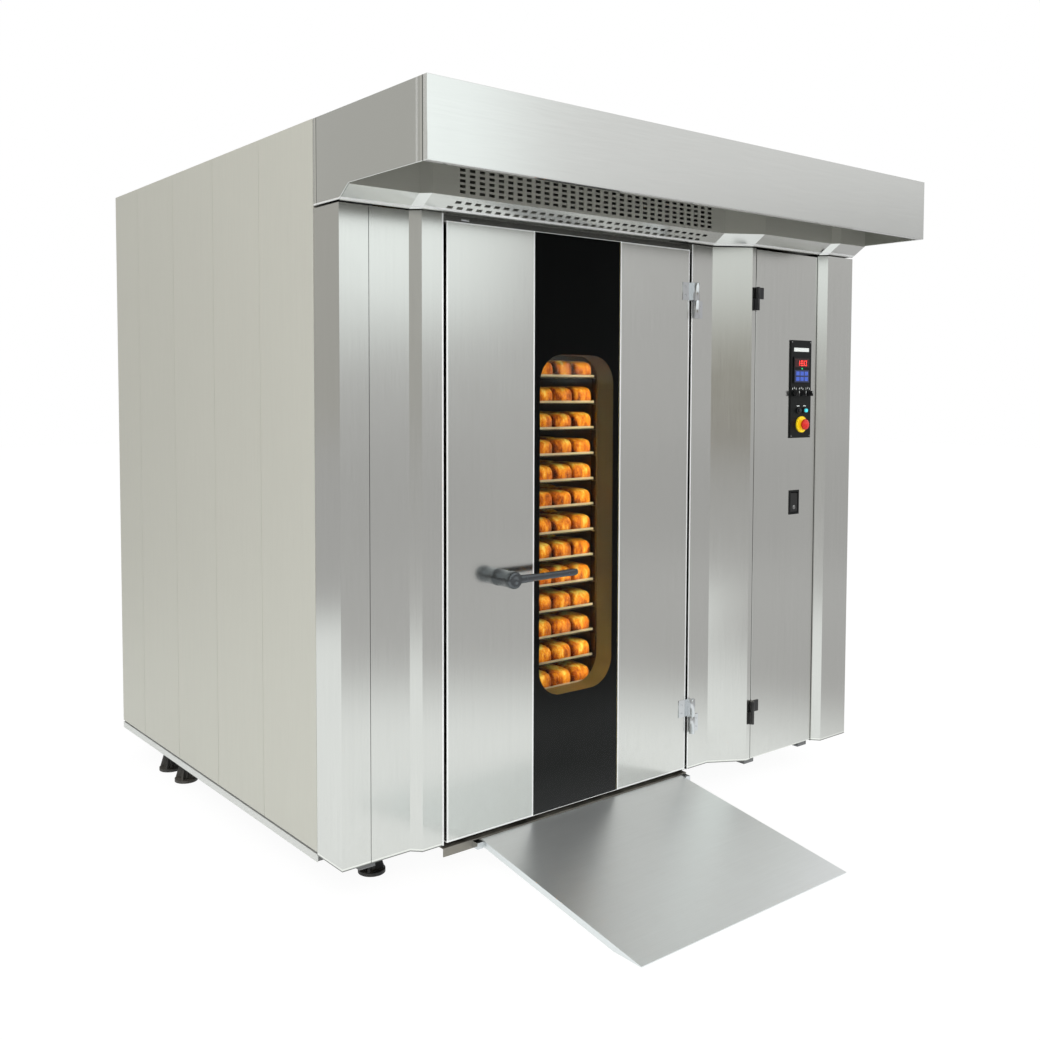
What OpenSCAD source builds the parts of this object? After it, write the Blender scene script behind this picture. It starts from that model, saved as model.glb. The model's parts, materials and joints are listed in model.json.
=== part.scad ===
// Rotating rack oven: an insulated cabinet in which a trolley of trays turns while it bakes.
// Millimetres, +Z up, the front faces -Y. The origin is on the floor, under the rack's turning axis.

/* [Casing] */
// Width of the body over both side walls
body_w = 2490; // [2450:10:2700]
// Depth of the body from the left corner panel to the back wall
body_d = 2010; // [2000:10:2300]
// Height of the body from its lower edge to the hood's top
shell_h = 2400; // [2390:10:2600]
// Height of the body's lower edge over the floor
foot_h = 140; // [136:2:160]
// Distance from the left side to the rack's axis
axis_left = 975; // [965:5:1010]
// Distance from the left corner panel's face to the rack's axis
axis_front = 810; // [800:5:830]
// Thickness of the insulated wall panels
wall_t = 60; // [40:5:75]
// Thickness of the casing's sheet steel
skin_t = 2; // [1.5:0.5:3]
// Width of one wall panel with its seam
panel_pitch = 392; // [300:2:460]
// Width of the seam between two panels
seam = 2; // [1:0.5:4]
// Height of the rail along the foot of the walls
rail_h = 26; // [20:2:34]
// Thickness of that rail
rail_t = 4; // [2:1:6]
// Height of the dark gap over the rail
rail_gap = 8; // [6:1:14]

/* [Front] */
// Depth of the folded edges of the front panels
fold_d = 25; // [20:1:30]
// Width of the left corner panel
corner_w = 108; // [90:2:120]
// Depth of the corner panels' side legs
corner_d = 163; // [155:2:175]
// Width of the flat panel next to the left corner
side_panel_w = 150; // [130:5:165]
// Width and depth of the small step beside it
small_step = 30; // [20:2:36]
// Width of the flat strip right of the door
strip_w = 123; // [110:1:140]
// Width of the large slanted step
big_step_w = 146; // [130:2:160]
// Depth of the large slanted step
big_step_d = 85; // [70:5:95]
// Width of the flat strip at the control door's hinges
hinge_strip_w = 22; // [20:1:26]
// Width of the last step at the right
last_step_w = 25; // [20:1:30]
// Depth of the last step at the right
last_step_d = 30; // [20:2:36]

/* [Oven door] */
// Width of the door
door_w = 1179; // [1171:2:1187]
// Thickness of the door
door_t = 95; // [85:1:105]
// Gap between the door and its frame
door_gap = 12; // [10:1:14]
// Height of the door's lower edge over the body's lower edge
door_lift = 5; // [3:1:8]
// Dark gap over the door
door_head_gap = 23; // [15:1:30]
// Width of the black glass strip
glass_w = 418; // [400:2:430]
// Thickness of the outer glass
glass_t = 6; // [4:1:8]
// Width of the window
window_w = 360; // [300:5:370]
// Height of the window
window_h = 1239; // [1000:10:1260]
// Height of the window's lower edge over the floor
window_z = 565; // [540:5:600]
// Radius of the window's corners
window_r = 105; // [60:5:120]
// Distance from the door's middle to the lever
lever_x = 370; // [300:5:420]
// Height of the lever over the floor
lever_z = 1029; // [980:1:1060]
// Length of the lever
lever_len = 295; // [200:5:320]
// How far the lever stands out from the door
lever_out = 98; // [80:2:105]
// Travel of the latch bolt
bolt_travel = 30; // [20:1:34]
// Distance from the door hinges' axis to the door's edge
hinge_x = 24.5; // [22:0.5:28]
// How far the door hinges' axis stands in front of the door
hinge_y = 15; // [14:1:20]
// Radius of the door hinges' barrels
hinge_r = 12; // [9:0.5:13]
// Radius of the door hinges' pins
hinge_pin_r = 6; // [4:0.5:7]
// Height of the door hinges
hinge_h = 140; // [100:10:180]

/* [Control side] */
// Width of the control door
ctrl_w = 406; // [390:2:420]
// Depth of the control door's folded edges
ctrl_t = 20; // [15:1:24]
// Gap around the control door
ctrl_gap = 4; // [3:0.5:6]
// Width of the black control plate
plate_w = 138; // [130:2:150]
// Height of the black control plate
plate_h = 414; // [400:2:430]
// Height of the control plate's lower edge over the floor
plate_z = 1476; // [1400:2:1500]
// Distance from the control door's left edge to the control plate
plate_x = 228; // [200:2:240]
// Thickness of the control plate
plate_t = 6; // [4:0.5:8]
// Radius of the emergency stop's mushroom head
stop_r = 23; // [18:1:26]
// Radius of the three selector knobs
knob_r = 12; // [9:0.5:14]
// Radius of the two push buttons
button_r = 12; // [9:0.5:14]
// Depth of the electrical cabinet behind the control door
cabinet_d = 420; // [400:10:425]

/* [Hood] */
// How far the hood stands out from the left corner panel's face
hood_out = 483; // [420:5:520]
// Height of the hood's front
hood_h = 235; // [200:5:240]
// Height of the slanted strip under the hood
cove_h = 42; // [30:2:50]
// Depth of the slanted strip under the hood
cove_d = 60; // [45:5:70]
// Thickness of the hood's sheet steel
hood_t = 3; // [2:0.5:4]
// Distance from one vent slot to the next
slot_pitch = 40; // [34:2:60]
// Length of a vent slot
slot_w = 23; // [16:1:26]
// Height of a vent slot
slot_h = 10; // [6:1:11]
// Distance from one row of slots to the next
slot_row = 17.6; // [15:0.2:20]
// Number of slot rows in the baffle
slot_rows = 6; // [3:1:7]
// Number of slots in a row
slot_count = 31; // [20:1:31]

/* [Chamber] */
// Inner width and depth of the chamber
chamber_w = 1400; // [1390:2:1410]
// Thickness of the chamber's lining
liner_t = 2; // [1.5:0.5:3]
// Thickness of the insulation around the chamber
wool_t = 60; // [50:2:64]
// Thickness of the chamber floor's sheet steel
floor_t = 3; // [2:0.5:5]
// Drop from the body's lower edge to the chamber floor
floor_drop = 12; // [10:1:16]
// Width of the clear doorway into the chamber
doorway_w = 1112; // [1100:2:1120]
// How far the slotted air panels stand off the lining
air_panel_t = 8; // [5:1:9]

/* [Rack] */
// Width of the rack
rack_w = 1040; // [1030:2:1044]
// Depth of the rack
rack_d = 820; // [810:2:824]
// Width of the rack's square tubes
tube_w = 30; // [25:1:35]
// Number of trays
tray_count = 16; // [8:1:16]
// Drop from the chamber's ceiling to the rim of the uppermost tray
top_tray_drop = 253; // [240:1:300]
// Height of the lowest tray's rim over the floor
first_tray_z = 337; // [325:1:340]
// Height of a tray's rim
tray_h = 14; // [12:1:20]
// Height of the loaves
loaf_h = 78; // [60:1:80]
// Width of one loaf
loaf_w = 137; // [110:1:137]
// Number of loaves across a tray
loaf_count = 7; // [4:1:7]
// Radius of the castor wheels
wheel_r = 50; // [44:1:52]
// Width of the castor wheels
wheel_w = 30; // [24:1:34]
// Radius of the castor axles
axle_r = 6; // [4:0.5:7]

/* [Drive] */
// Radius of the turning platform
table_r = 642; // [640:1:644]
// Thickness of the turning platform
table_t = 10; // [8:0.5:12]
// Radius of the platform's hub
hub_r = 38; // [30:1:44]
// Radius of the drive shaft
shaft_r = 25; // [20:1:28]
// Gear module of the rack drive
gear_m = 6; // [5:0.5:6]
// Teeth on the driven gear
gear_teeth = 45; // [40:1:48]
// Teeth on the pinion
pinion_teeth = 15; // [14:1:18]
// Width of the gears
gear_w = 25; // [15:1:30]
// Radius of the fan wheel
fan_r = 220; // [160:5:240]
// Drop from the chamber's ceiling to the fan's axis
fan_drop = 410; // [380:10:510]

/* [Ramp] */
// Width of the ramp
ramp_w = 1010; // [900:4:1040]
// Horizontal length of the ramp
ramp_run = 773; // [700:1:780]
// Distance from the rack's axis to the ramp's middle, to the right
ramp_shift = 53; // [0:1:60]
// Thickness of the ramp's plate
ramp_t = 3; // [2:0.5:4]
// Depth of the ramp's folded sides
ramp_skirt = 22; // [15:1:24]

/* [Fits] */
// Radial clearance of turning shafts and pins
run_fit = 0.05; // [0.02:0.01:0.09]
// Clearance of pieces that slide or turn past each other
slide_fit = 0.3; // [0.3:0.1:0.5]
// Small clearance of pieces that are set into one another
set_fit = 0.5; // [0.3:0.1:0.8]

/* [Hidden] */
$fn = 64;

// Outer faces of the body
xl = -axis_left;
xr = xl + body_w;
yf = -axis_front;
yb = yf + body_d;
zs = foot_h;
zt = zs + shell_h;

// Planes of the stepped front
y_door = yf - small_step;
y_ctrl = y_door - big_step_d;
y_last = y_ctrl - last_step_d;
door_x = door_w / 2;
jamb_x = door_x + door_gap;
step1_x = xl + corner_w + side_panel_w;
step2_x = step1_x + small_step;
big1_x = jamb_x + strip_w;
big2_x = big1_x + big_step_w;
strip_x = big2_x + hinge_strip_w;
ctrl_x = strip_x + ctrl_gap;
ctrl_end = ctrl_x + ctrl_w;
last0_x = ctrl_end + ctrl_gap;
last_flat = 6;
last1_x = last0_x + last_flat;
last2_x = last1_x + last_step_w;

// Heights of the front
hood_z = zt - hood_h;
cove_z = hood_z - cove_h;
facade_gap = 8;
facade_z = cove_z - facade_gap;
door_z0 = zs + door_lift;
door_z1 = facade_z - door_head_gap;
floor_z = zs - floor_drop;

// Walls and the frame under them
rail_top = zs + 2;
base_z = rail_top - rail_h;
wall_z = rail_top + rail_gap;
bar_wall = 5;
wall_y = yf + corner_d + seam;
side_bar = 100;
bar_w = 60;
joint = 0.5;
deck_t = 3;
chamber_r = chamber_w / 2;
liner_r = chamber_r + liner_t;
wool_r = liner_r + wool_t;
frame_x = liner_r + 1;
deck_rise = 35;
deck_z = facade_z + deck_rise;
deck_top = deck_z + deck_t;
hood_back = yf + corner_d;

// Door frame and the chamber's front
jamb_y = y_door + fold_d;
door_back = y_door + door_t;
rebate_y = door_back + 9;
chamber_y = rebate_y + 44;
doorway_x = doorway_w / 2;
doorway_z = door_z1 - 26;
chamber_top = doorway_z + 4;

// Door parts
hub_x = -lever_x;
hinge_ax = door_x + hinge_x;
hinge_ay = y_door - hinge_y;
hinge_low = 290;
hinge_high = door_z1 - 269;
border_t = 2;
pocket_y = y_door + glass_t + border_t;
pane_t = 5;
pane_w = window_w + 41;
pane_h = window_h + 122;
pane_z = window_z - 61;
spindle_r = 12;
bolt_h = 24;
bolt_y = y_door + 36;
gasket_w = 18;

// Control door parts
chinge_x = strip_x + 0.5;
chinge_y = y_ctrl - 11;
chinge_r = 8;
chinge_pin_r = 4;
chinge_h = 94;
chinge_low = 294;
chinge_high = facade_z - 252;
plate_x0 = ctrl_x + plate_x;
plate_x1 = plate_x0 + plate_w;
plate_y = y_ctrl - plate_t;
stop_x = plate_x0 + plate_w / 2 + 4;
stop_z = plate_z + 57;
knob_z = plate_z + 189;
knob_gap = 46;
button_z = plate_z + 116;
stem_r = 8;
stem_back = y_ctrl + 12;
latch_w = 65;
latch_h = 103;
latch_x = ctrl_x + 234;
latch_z = 1150;
latch_axis_z = latch_z + latch_h - 14;
latch_axis_y = y_ctrl + 4;

// Electrical cabinet
cab_x0 = strip_x - 4;
cab_x1 = last0_x + 4;
cab_y0 = y_ctrl + fold_d;
cab_y1 = cab_y0 + cabinet_d;
cab_z1 = facade_z - 15;

// Platform, rack and drive
table_gap = 4;
table_rise = 1;
table_z = floor_z + table_rise - table_t;
table_top = table_z + table_t;
recess_z = table_z - slide_fit;
pan_z = recess_z - floor_t;
apron_h = 30;
bearing_z = 50;
wheel_z = table_top + slide_fit + wheel_r;
rack_z = wheel_z + wheel_r + 12.7;
rack_x = rack_w / 2;
rack_y = rack_d / 2;
castor_x = rack_x - 42;
castor_y = rack_y - 42;
last_tray_z = chamber_top - top_tray_drop;
tray_pitch = (last_tray_z - first_tray_z) / (tray_count - 1);
rack_top = last_tray_z + 123;
rail_w = 20;
sheet = 1.5;
gear_z = deck_top + 56;
gear_gap = gear_m * (gear_teeth + pinion_teeth) / 2;
backlash = 0.4;
fan_y0 = liner_r + wool_t;
fan_z = chamber_top - fan_drop;
fan_case = 200;
motor_l = 150;

// Ramp
ramp_x0 = ramp_shift - ramp_w / 2;
ramp_x1 = ramp_shift + ramp_w / 2;
ramp_back = y_door - 10;
ramp_front = ramp_back - ramp_run;
rod_y = ramp_back - 12;
rod_z = floor_z - 14;
rod_r = 7;
ramp_slope = (floor_z - ramp_t) / ramp_run;

// Colours
steel = [0.78, 0.78, 0.75];
bright = [0.86, 0.88, 0.89];
dark = [0.16, 0.16, 0.17];
grey = [0.45, 0.46, 0.47];

module block(lo, hi) {
    translate(lo) cube(hi - lo);
}

// A round bar between two heights, along X, along Y or upright
module bar_x(x0, x1, y, z, r) {
    translate([x0, y, z]) rotate([0, 90, 0]) cylinder(h = x1 - x0, r = r);
}
module bar_y(x, y0, y1, z, r) {
    translate([x, y0, z]) rotate([-90, 0, 0]) cylinder(h = y1 - y0, r = r);
}
module bar_z(x, y, z0, z1, r) {
    translate([x, y, z0]) cylinder(h = z1 - z0, r = r);
}

// The stepped line of the front in plan, moved forward by ahead
function front_line(ahead, trim = 0) = [
    [xl + trim, yf - ahead], [step1_x, yf - ahead], [step2_x, y_door - ahead],
    [big1_x, y_door - ahead], [big2_x, y_ctrl - ahead], [last1_x, y_ctrl - ahead],
    [last2_x, y_last - ahead], [xr - trim, y_last - ahead]
];
function moved(points, d) = [for (p = points) p + d];
function backwards(points) = [for (i = [len(points) - 1 : -1 : 0]) points[i]];
function strip_outline(points, t) = concat(points, backwards(moved(points, [0, t])));

// An upright sheet along a line in plan, with a folded edge at each end
module folded_sheet(points, z0, z1) {
    first = points[0];
    last = points[len(points) - 1];
    translate([0, 0, z0]) linear_extrude(z1 - z0) union() {
        polygon(strip_outline(points, skin_t));
        translate(first) square([skin_t, fold_d]);
        translate(last - [skin_t, 0]) square([skin_t, fold_d]);
    }
}

// A sheet steel tray between two corners, open towards +X, -X or -Y
module wall_tray(lo, hi, open) {
    t = skin_t;
    cut_lo = lo + [open[0] < 0 ? -1 : t, open[1] < 0 ? -1 : t, t];
    cut_hi = hi - [open[0] > 0 ? -1 : t, t, t];
    difference() {
        block(lo, hi);
        block(cut_lo, cut_hi);
    }
}
// The starts of panels between two ends, and the end of the panel that starts at a
function panel_starts(a, b) = [for (p = [a : panel_pitch : b - 60]) p];
function panel_end(a, b) = (a + panel_pitch > b - 60) ? b : a + panel_pitch - seam;

module rounded_window(w, h, r) {
    square([w, h - 2 * r], center = true);
    square([w - 2 * r, h], center = true);
    for (sx = [-1, 1], sz = [-1, 1]) {
        translate([sx * (w / 2 - r), sz * (h / 2 - r)]) circle(r = r);
    }
}
// The window's shape grown by grow, from y0 to y1
module window_plug(grow, y0, y1) {
    translate([0, y1, window_z + window_h / 2]) rotate([90, 0, 0]) linear_extrude(y1 - y0) {
        rounded_window(window_w + 2 * grow, window_h + 2 * grow, window_r + grow);
    }
}

// ---- Frame, feet and casing ----

// A folded channel between two corners, open below
module channel(lo, hi) {
    w = bar_wall;
    difference() {
        block(lo, hi);
        block(lo + [w, w, -1], hi - [w, w, w]);
    }
}

module base_frame() {
    rear_bar_y = yb - rail_t - side_bar;
    front_y = wall_y + 5;
    left_x = xl + rail_t + side_bar;
    right_x = xr - rail_t - side_bar;
    inner_x = frame_x + bar_w;
    post_x = xl + corner_w - 31;
    post_y = yf + fold_d;
    color(grey) {
        channel([xl + rail_t, front_y, base_z], [left_x, rear_bar_y - joint, wall_z]);
        channel([right_x, front_y, base_z], [xr - rail_t, rear_bar_y - joint, wall_z]);
        channel([xl + rail_t, rear_bar_y, base_z], [xr - rail_t, yb - rail_t, wall_z]);
        for (a = [-inner_x, frame_x]) {
            channel([a, front_y, base_z], [a + bar_w, rear_bar_y - joint, wall_z]);
        }
        for (y = [-380, 320]) {
            cross_beam(y, inner_x);
        }
        channel([left_x + joint, front_y, base_z], [-inner_x - joint, front_y + bar_w, wall_z]);
        channel([-frame_x + joint, wool_r + 1, base_z], [frame_x - joint, wool_r + 1 + bar_w, wall_z]);
        for (y = [front_y, -250, 450]) {
            channel([inner_x + joint, y, base_z], [right_x - joint, y + bar_w, wall_z]);
        }
        for (x = [cab_x0, cab_x1 - bar_w]) {
            channel([x, cab_y0, base_z], [x + bar_w, front_y - joint, wall_z]);
        }
        channel([post_x, post_y, base_z], [post_x + bar_w, front_y - joint, wall_z]);
        union() {
            block([post_x, post_y, wall_z + joint], [post_x + bar_w, post_y + bar_wall, deck_z]);
            block([post_x, post_y, wall_z + joint], [post_x + bar_wall, post_y + bar_w, deck_z]);
        }
    }
}

// A beam under the chamber; at each end a block fills the channel over it
module cross_beam(y, inner_x) {
    inset = bar_wall + joint;
    channel([-inner_x, y, bearing_z], [inner_x, y + bar_w, pan_z]);
    for (a = [-inner_x, frame_x]) {
        block([a + inset, y, pan_z + joint / 2], [a + bar_w - inset, y + bar_w, wall_z - inset]);
    }
}

// A cast foot with four splayed toes; its stem reaches up into the channel above it
module foot(x, y, h, reach) {
    pad_r = 48;
    pad_t = 12;
    stem = 16;
    rib_z = max(h - 26, pad_t + 14);
    translate([x, y, 0]) union() {
        cylinder(h = pad_t, r = pad_r);
        cylinder(h = h + reach, r = stem);
        for (a = [45 : 90 : 315]) {
            rotate([0, 0, a]) translate([0, 4, 0]) rotate([90, 0, 0]) linear_extrude(8) {
                polygon([[0, pad_t / 2], [pad_r - 3, pad_t / 2], [pad_r - 3, pad_t + 4],
                         [stem + 6, rib_z], [0, rib_z]]);
            }
        }
    }
}
module levelling_feet() {
    side_x = rail_t + side_bar - 22;
    deep = wall_z - bar_wall - base_z;
    color(dark) {
        for (y = [667, 843]) {
            foot(xl + side_x, y, base_z, deep);
            foot(xr - side_x, y, base_z, deep);
        }
        for (x = [-frame_x - bar_w / 2, frame_x + bar_w / 2]) {
            foot(x, wall_y + 55, base_z, deep);
        }
        foot(xr - side_x, wall_y + 85, base_z, deep);
        foot(0, yb - rail_t - side_bar / 2, base_z, deep);
        for (x = [-560, 560], y = [-350, 350]) {
            foot(x, y, bearing_z, pan_z - bar_wall - bearing_z);
        }
        foot(0, 0, bearing_z, 0);
    }
}

module base_rails() {
    color(bright) {
        block([xl, wall_y, base_z], [xl + rail_t, yb - rail_t - joint, rail_top]);
        block([xr - rail_t, wall_y, base_z], [xr, yb - rail_t - joint, rail_top]);
        block([xl, yb - rail_t, base_z], [xr, yb, rail_top]);
    }
}

module side_wall_panels() {
    color(steel) for (y = panel_starts(wall_y, yb)) {
        y1 = panel_end(y, yb);
        wall_tray([xl, y, wall_z], [xl + wall_t, y1, zt], [1, 0]);
        wall_tray([xr - wall_t, y, wall_z], [xr, y1, zt], [-1, 0]);
    }
}

module rear_wall_panels() {
    color(steel) for (x = panel_starts(xl + wall_t, xr - wall_t)) {
        x1 = panel_end(x, xr - wall_t);
        wall_tray([x, yb - wall_t, wall_z], [x1, yb, zt], [0, -1]);
    }
}

module roof_deck() {
    color(grey) difference() {
        union() {
            block([xl + wall_t, wall_y, deck_z], [xr - wall_t, yb - wall_t, deck_top]);
            block([xl + fold_d, yf + fold_d, deck_z], [xr - fold_d, wall_y, deck_top]);
        }
        bar_z(0, 0, deck_z - 1, deck_top + 1, shaft_r + 12);
        bar_z(flue_x, flue_y, deck_z - 1, deck_top + 1, flue_r + set_fit);
    }
}

module front_panels() {
    t = skin_t;
    corner_x = xl + corner_w - seam;
    corner_line = [[last0_x, y_ctrl], [last1_x, y_ctrl], [last2_x, y_last], [xr, y_last]];
    color(bright) {
        translate([0, 0, zs]) linear_extrude(facade_z - zs) union() {
            translate([xl, yf]) square([corner_w - seam, t]);
            translate([xl, yf]) square([t, corner_d]);
            translate([corner_x - t, yf]) square([t, fold_d]);
        }
        folded_sheet([[xl + corner_w, yf], [step1_x, yf], [step2_x, y_door], [-jamb_x, y_door]],
                     zs, facade_z);
        folded_sheet([[jamb_x, y_door], [big1_x, y_door], [big2_x, y_ctrl], [strip_x, y_ctrl]],
                     zs, facade_z);
        translate([0, 0, zs]) linear_extrude(facade_z - zs) union() {
            polygon(strip_outline(corner_line, t));
            translate(corner_line[0]) square([t, fold_d]);
            translate([xr - t, y_last]) square([t, yf + corner_d - y_last]);
        }
    }
}

// ---- Door frame, chamber and its floor ----

frame_wall = 4;

// A hollow bar between two corners, open at its top
module hollow_bar(lo, hi) {
    w = frame_wall;
    difference() {
        block(lo, hi);
        block(lo + [w, w, w], hi + [-w, -w, 1]);
    }
}

// Posts beside the door, a head over it and a second row behind them that narrows the doorway
module door_frame() {
    post_out = jamb_x + 74.5;
    front_y = rebate_y - joint;
    head_z = door_z1 + 4;
    room = 8;
    slot_z = lever_z - bolt_h / 2 - room;
    slot_top = slot_z + bolt_h + 2 * room;
    color(steel) {
        hollow_bar([-post_out, jamb_y, floor_z], [-jamb_x, front_y, slot_z]);
        keeper_in = -jamb_x - 50;
        block([-post_out, jamb_y, slot_z + joint], [keeper_in - joint, front_y, slot_top - joint]);
        block([keeper_in, jamb_y, slot_z + joint], [-jamb_x, bolt_y - 5, slot_top - joint]);
        block([keeper_in, bolt_y + bolt_h + 5, slot_z + joint], [-jamb_x, front_y, slot_top - joint]);
        hollow_bar([-post_out, jamb_y, slot_top], [-jamb_x, front_y, deck_z]);
        hollow_bar([jamb_x, jamb_y, floor_z], [post_out, front_y, deck_z]);
        hollow_bar([-jamb_x + joint, jamb_y, head_z], [jamb_x - joint, front_y, deck_z]);
        for (a = [-liner_r, doorway_x]) {
            hollow_bar([a, rebate_y, floor_z], [a + liner_r - doorway_x, chamber_y - joint, deck_z]);
        }
        hollow_bar([-doorway_x + joint, rebate_y, doorway_z], [doorway_x - joint, chamber_y - joint, deck_z]);
    }
}

module chamber_liner() {
    top = chamber_top;
    wall_top = top - joint;
    color(bright) {
        for (s = [-1, 1]) {
            a = s < 0 ? -liner_r : chamber_r;
            block([a, chamber_y, floor_z], [a + liner_t, liner_r, wall_top]);
        }
        difference() {
            block([-chamber_r + joint, chamber_r, floor_z], [chamber_r - joint, liner_r, wall_top]);
            bar_y(0, chamber_r - 1, liner_r + 1, fan_z, fan_r - 80);
        }
        difference() {
            block([-liner_r, chamber_y, top], [liner_r, liner_r, top + liner_t]);
            bar_z(0, 0, top - 1, top + liner_t + 1, shaft_r + 7);
        }
    }
}

// The floor sheet with a round well for the platform, and a folded apron under the door
module chamber_floor() {
    t = floor_t;
    well_r = table_r + table_gap;
    color(grey) difference() {
        union() {
            block([-liner_r, door_back, floor_z - t], [liner_r, liner_r, floor_z]);
            block([-jamb_x, y_door + skin_t, floor_z - t], [jamb_x, door_back, floor_z]);
            block([-jamb_x, y_door + skin_t, floor_z - apron_h],
                  [jamb_x, y_door + skin_t + t, floor_z]);
            bar_z(0, 0, pan_z, floor_z, well_r + t);
        }
        bar_z(0, 0, recess_z, floor_z + 1, well_r);
        bar_z(0, 0, pan_z - 1, floor_z, hub_r + 4);
    }
}

// Mineral wool inside the wall panels and around the chamber
module insulation_slabs() {
    t = skin_t;
    top = chamber_top + liner_t;
    color([0.85, 0.78, 0.5]) {
        for (y = panel_starts(wall_y, yb)) {
            y1 = panel_end(y, yb);
            block([xl + t, y + t, wall_z + t], [xl + wall_t, y1 - t, zt - t]);
            block([xr - wall_t, y + t, wall_z + t], [xr - t, y1 - t, zt - t]);
        }
        for (x = panel_starts(xl + wall_t, xr - wall_t)) {
            x1 = panel_end(x, xr - wall_t);
            block([x + t, yb - wall_t, wall_z + t], [x1 - t, yb - t, zt - t]);
        }
        for (s = [-1, 1]) {
            a = s < 0 ? -wool_r : liner_r;
            block([a, chamber_y, wall_z], [a + wool_t, liner_r - joint, top - joint]);
        }
        difference() {
            block([-wool_r, liner_r, wall_z], [wool_r, wool_r, top - joint]);
            bar_y(0, liner_r - 1, wool_r + 1, fan_z, fan_r - 80);
        }
        difference() {
            block([-wool_r, chamber_y, top], [wool_r, wool_r, deck_z]);
            bar_z(0, 0, top - 1, deck_z + 1, shaft_r + 9);
        }
    }
}

module air_panels() {
    z0 = floor_z + 60;
    z1 = chamber_top - 60;
    slots = 14;
    step = (z1 - z0) / slots;
    color(grey) for (s = [-1, 1]) {
        a = s < 0 ? -chamber_r : chamber_r - air_panel_t;
        t = skin_t;
        inner = s < 0 ? a - 1 : a + t;
        difference() {
            block([a, -560, z0], [a + air_panel_t, 560, z1]);
            block([inner, -560 + t, z0 + t], [inner + air_panel_t + 1 - t, 560 - t, z1 - t]);
            for (i = [0 : slots - 1]) {
                z = z0 + (i + 0.5) * step - 7;
                block([a - 1, -500, z], [a + air_panel_t + 1, 500, z + 14]);
            }
        }
    }
}

// The platform's bearing on the middle foot, and the drive shaft's bearing on the roof
module rack_bearings() {
    color([0.2, 0.3, 0.5]) {
        difference() {
            union() {
                bar_z(0, 0, bearing_z, pan_z, hub_r + 16);
                bar_z(0, 0, pan_z - 12, pan_z, hub_r + 37);
            }
            bar_z(0, 0, bearing_z + 8, pan_z + 1, hub_r + run_fit);
        }
        difference() {
            union() {
                bar_z(0, 0, deck_top, deck_top + 12, 80);
                bar_z(0, 0, deck_top, gear_z - 4, 50);
            }
            bar_z(0, 0, deck_top - 1, gear_z, shaft_r + run_fit);
        }
    }
}

module chamber_lamps() {
    color([1, 0.9, 0.6]) for (s = [-1, 1]) {
        x = s * (chamber_r - 40);
        block([x - 20, chamber_y, 700], [x + 20, chamber_y + 28, 1700]);
    }
}

// ---- Heating, steam and exhaust ----

motor_shaft_r = 14;
hx_x = (frame_x + bar_w + xr - wall_t) / 2;
drum_r = 140;
drum_z = 500;
hx_y0 = -300;
hx_y1 = 600;
box_t = 60;
box_top = chamber_top - 110;
flue_r = 75;
flue_x = hx_x;
flue_y = hx_y1 + box_t + 90;

// The exchanger's outline, drawn in by w: drum, two headers, tubes, flue box and flue
module exchanger_shape(w) {
    into = w > 0 ? box_t / 2 : 1;
    bar_y(hx_x, hx_y0 - into, hx_y1 + into, drum_z, drum_r - w);
    for (y = [hx_y0 - box_t, hx_y1]) {
        block([hx_x - 220 + w, y + w, drum_z - 200 + w],
              [hx_x + 220 - w, y + box_t - w, box_top - w]);
    }
    for (i = [-1 : 1], z = [850 : 170 : box_top - 60]) {
        bar_y(hx_x + i * 130, hx_y0 - into, hx_y1 + into, z, 32 - w);
    }
    block([hx_x - 100 + w, hx_y1 + box_t - 2 * w - 1, box_top - 200 + w],
          [hx_x + 100 - w, flue_y + 90 - w, box_top - w]);
    bar_z(flue_x, flue_y, box_top - 30, w > 0 ? zt : zt - 10, flue_r - w);
}
module heat_exchanger() {
    color([0.5, 0.42, 0.36]) union() {
        difference() {
            exchanger_shape(0);
            exchanger_shape(3);
        }
        for (y = [-226, 474]) {
            block([hx_x - 100, y, wall_z], [hx_x + 100, y + 8, drum_z - drum_r + 25]);
        }
    }
}

module burner() {
    back = hx_y1 + box_t;
    color([0.75, 0.2, 0.12]) union() {
        bar_y(hx_x, back, back + 12, drum_z, 95);
        bar_y(hx_x, back, back + 110, drum_z, 60);
        block([hx_x - 110, back + 100, drum_z - 110], [hx_x + 110, back + 320, drum_z + 130]);
        bar_x(hx_x - 160, hx_x + 160, back + 210, drum_z - 60, 100);
    }
}

// The fan's case behind the chamber, with its motor
module fan_housing() {
    r = fan_r + 90;
    t = 4;
    y1 = fan_y0 + fan_case;
    color(grey) difference() {
        block([-r, fan_y0, fan_z - r], [r, y1, fan_z + r]);
        block([-r + t, fan_y0 + t, fan_z - r + t], [r - t, y1 - t, fan_z + r - t]);
        bar_y(0, fan_y0 - 1, fan_y0 + t + 1, fan_z, fan_r - 80);
        bar_y(0, y1 - t - 1, y1 + 1, fan_z, 22);
        block([r - 200, fan_y0 + 30, fan_z + r - t - 1], [r - 40, y1 - 30, fan_z + r + 1]);
    }
    color([0.2, 0.35, 0.55]) difference() {
        union() {
            bar_y(0, y1, y1 + 12, fan_z, 110);
            bar_y(0, y1 + 12, y1 + motor_l, fan_z, 80);
            block([-40, y1 + 40, fan_z + 70], [40, y1 + 110, fan_z + 110]);
        }
        bar_y(0, y1 - 1, y1 + 80, fan_z, motor_shaft_r + run_fit);
    }
}

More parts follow.
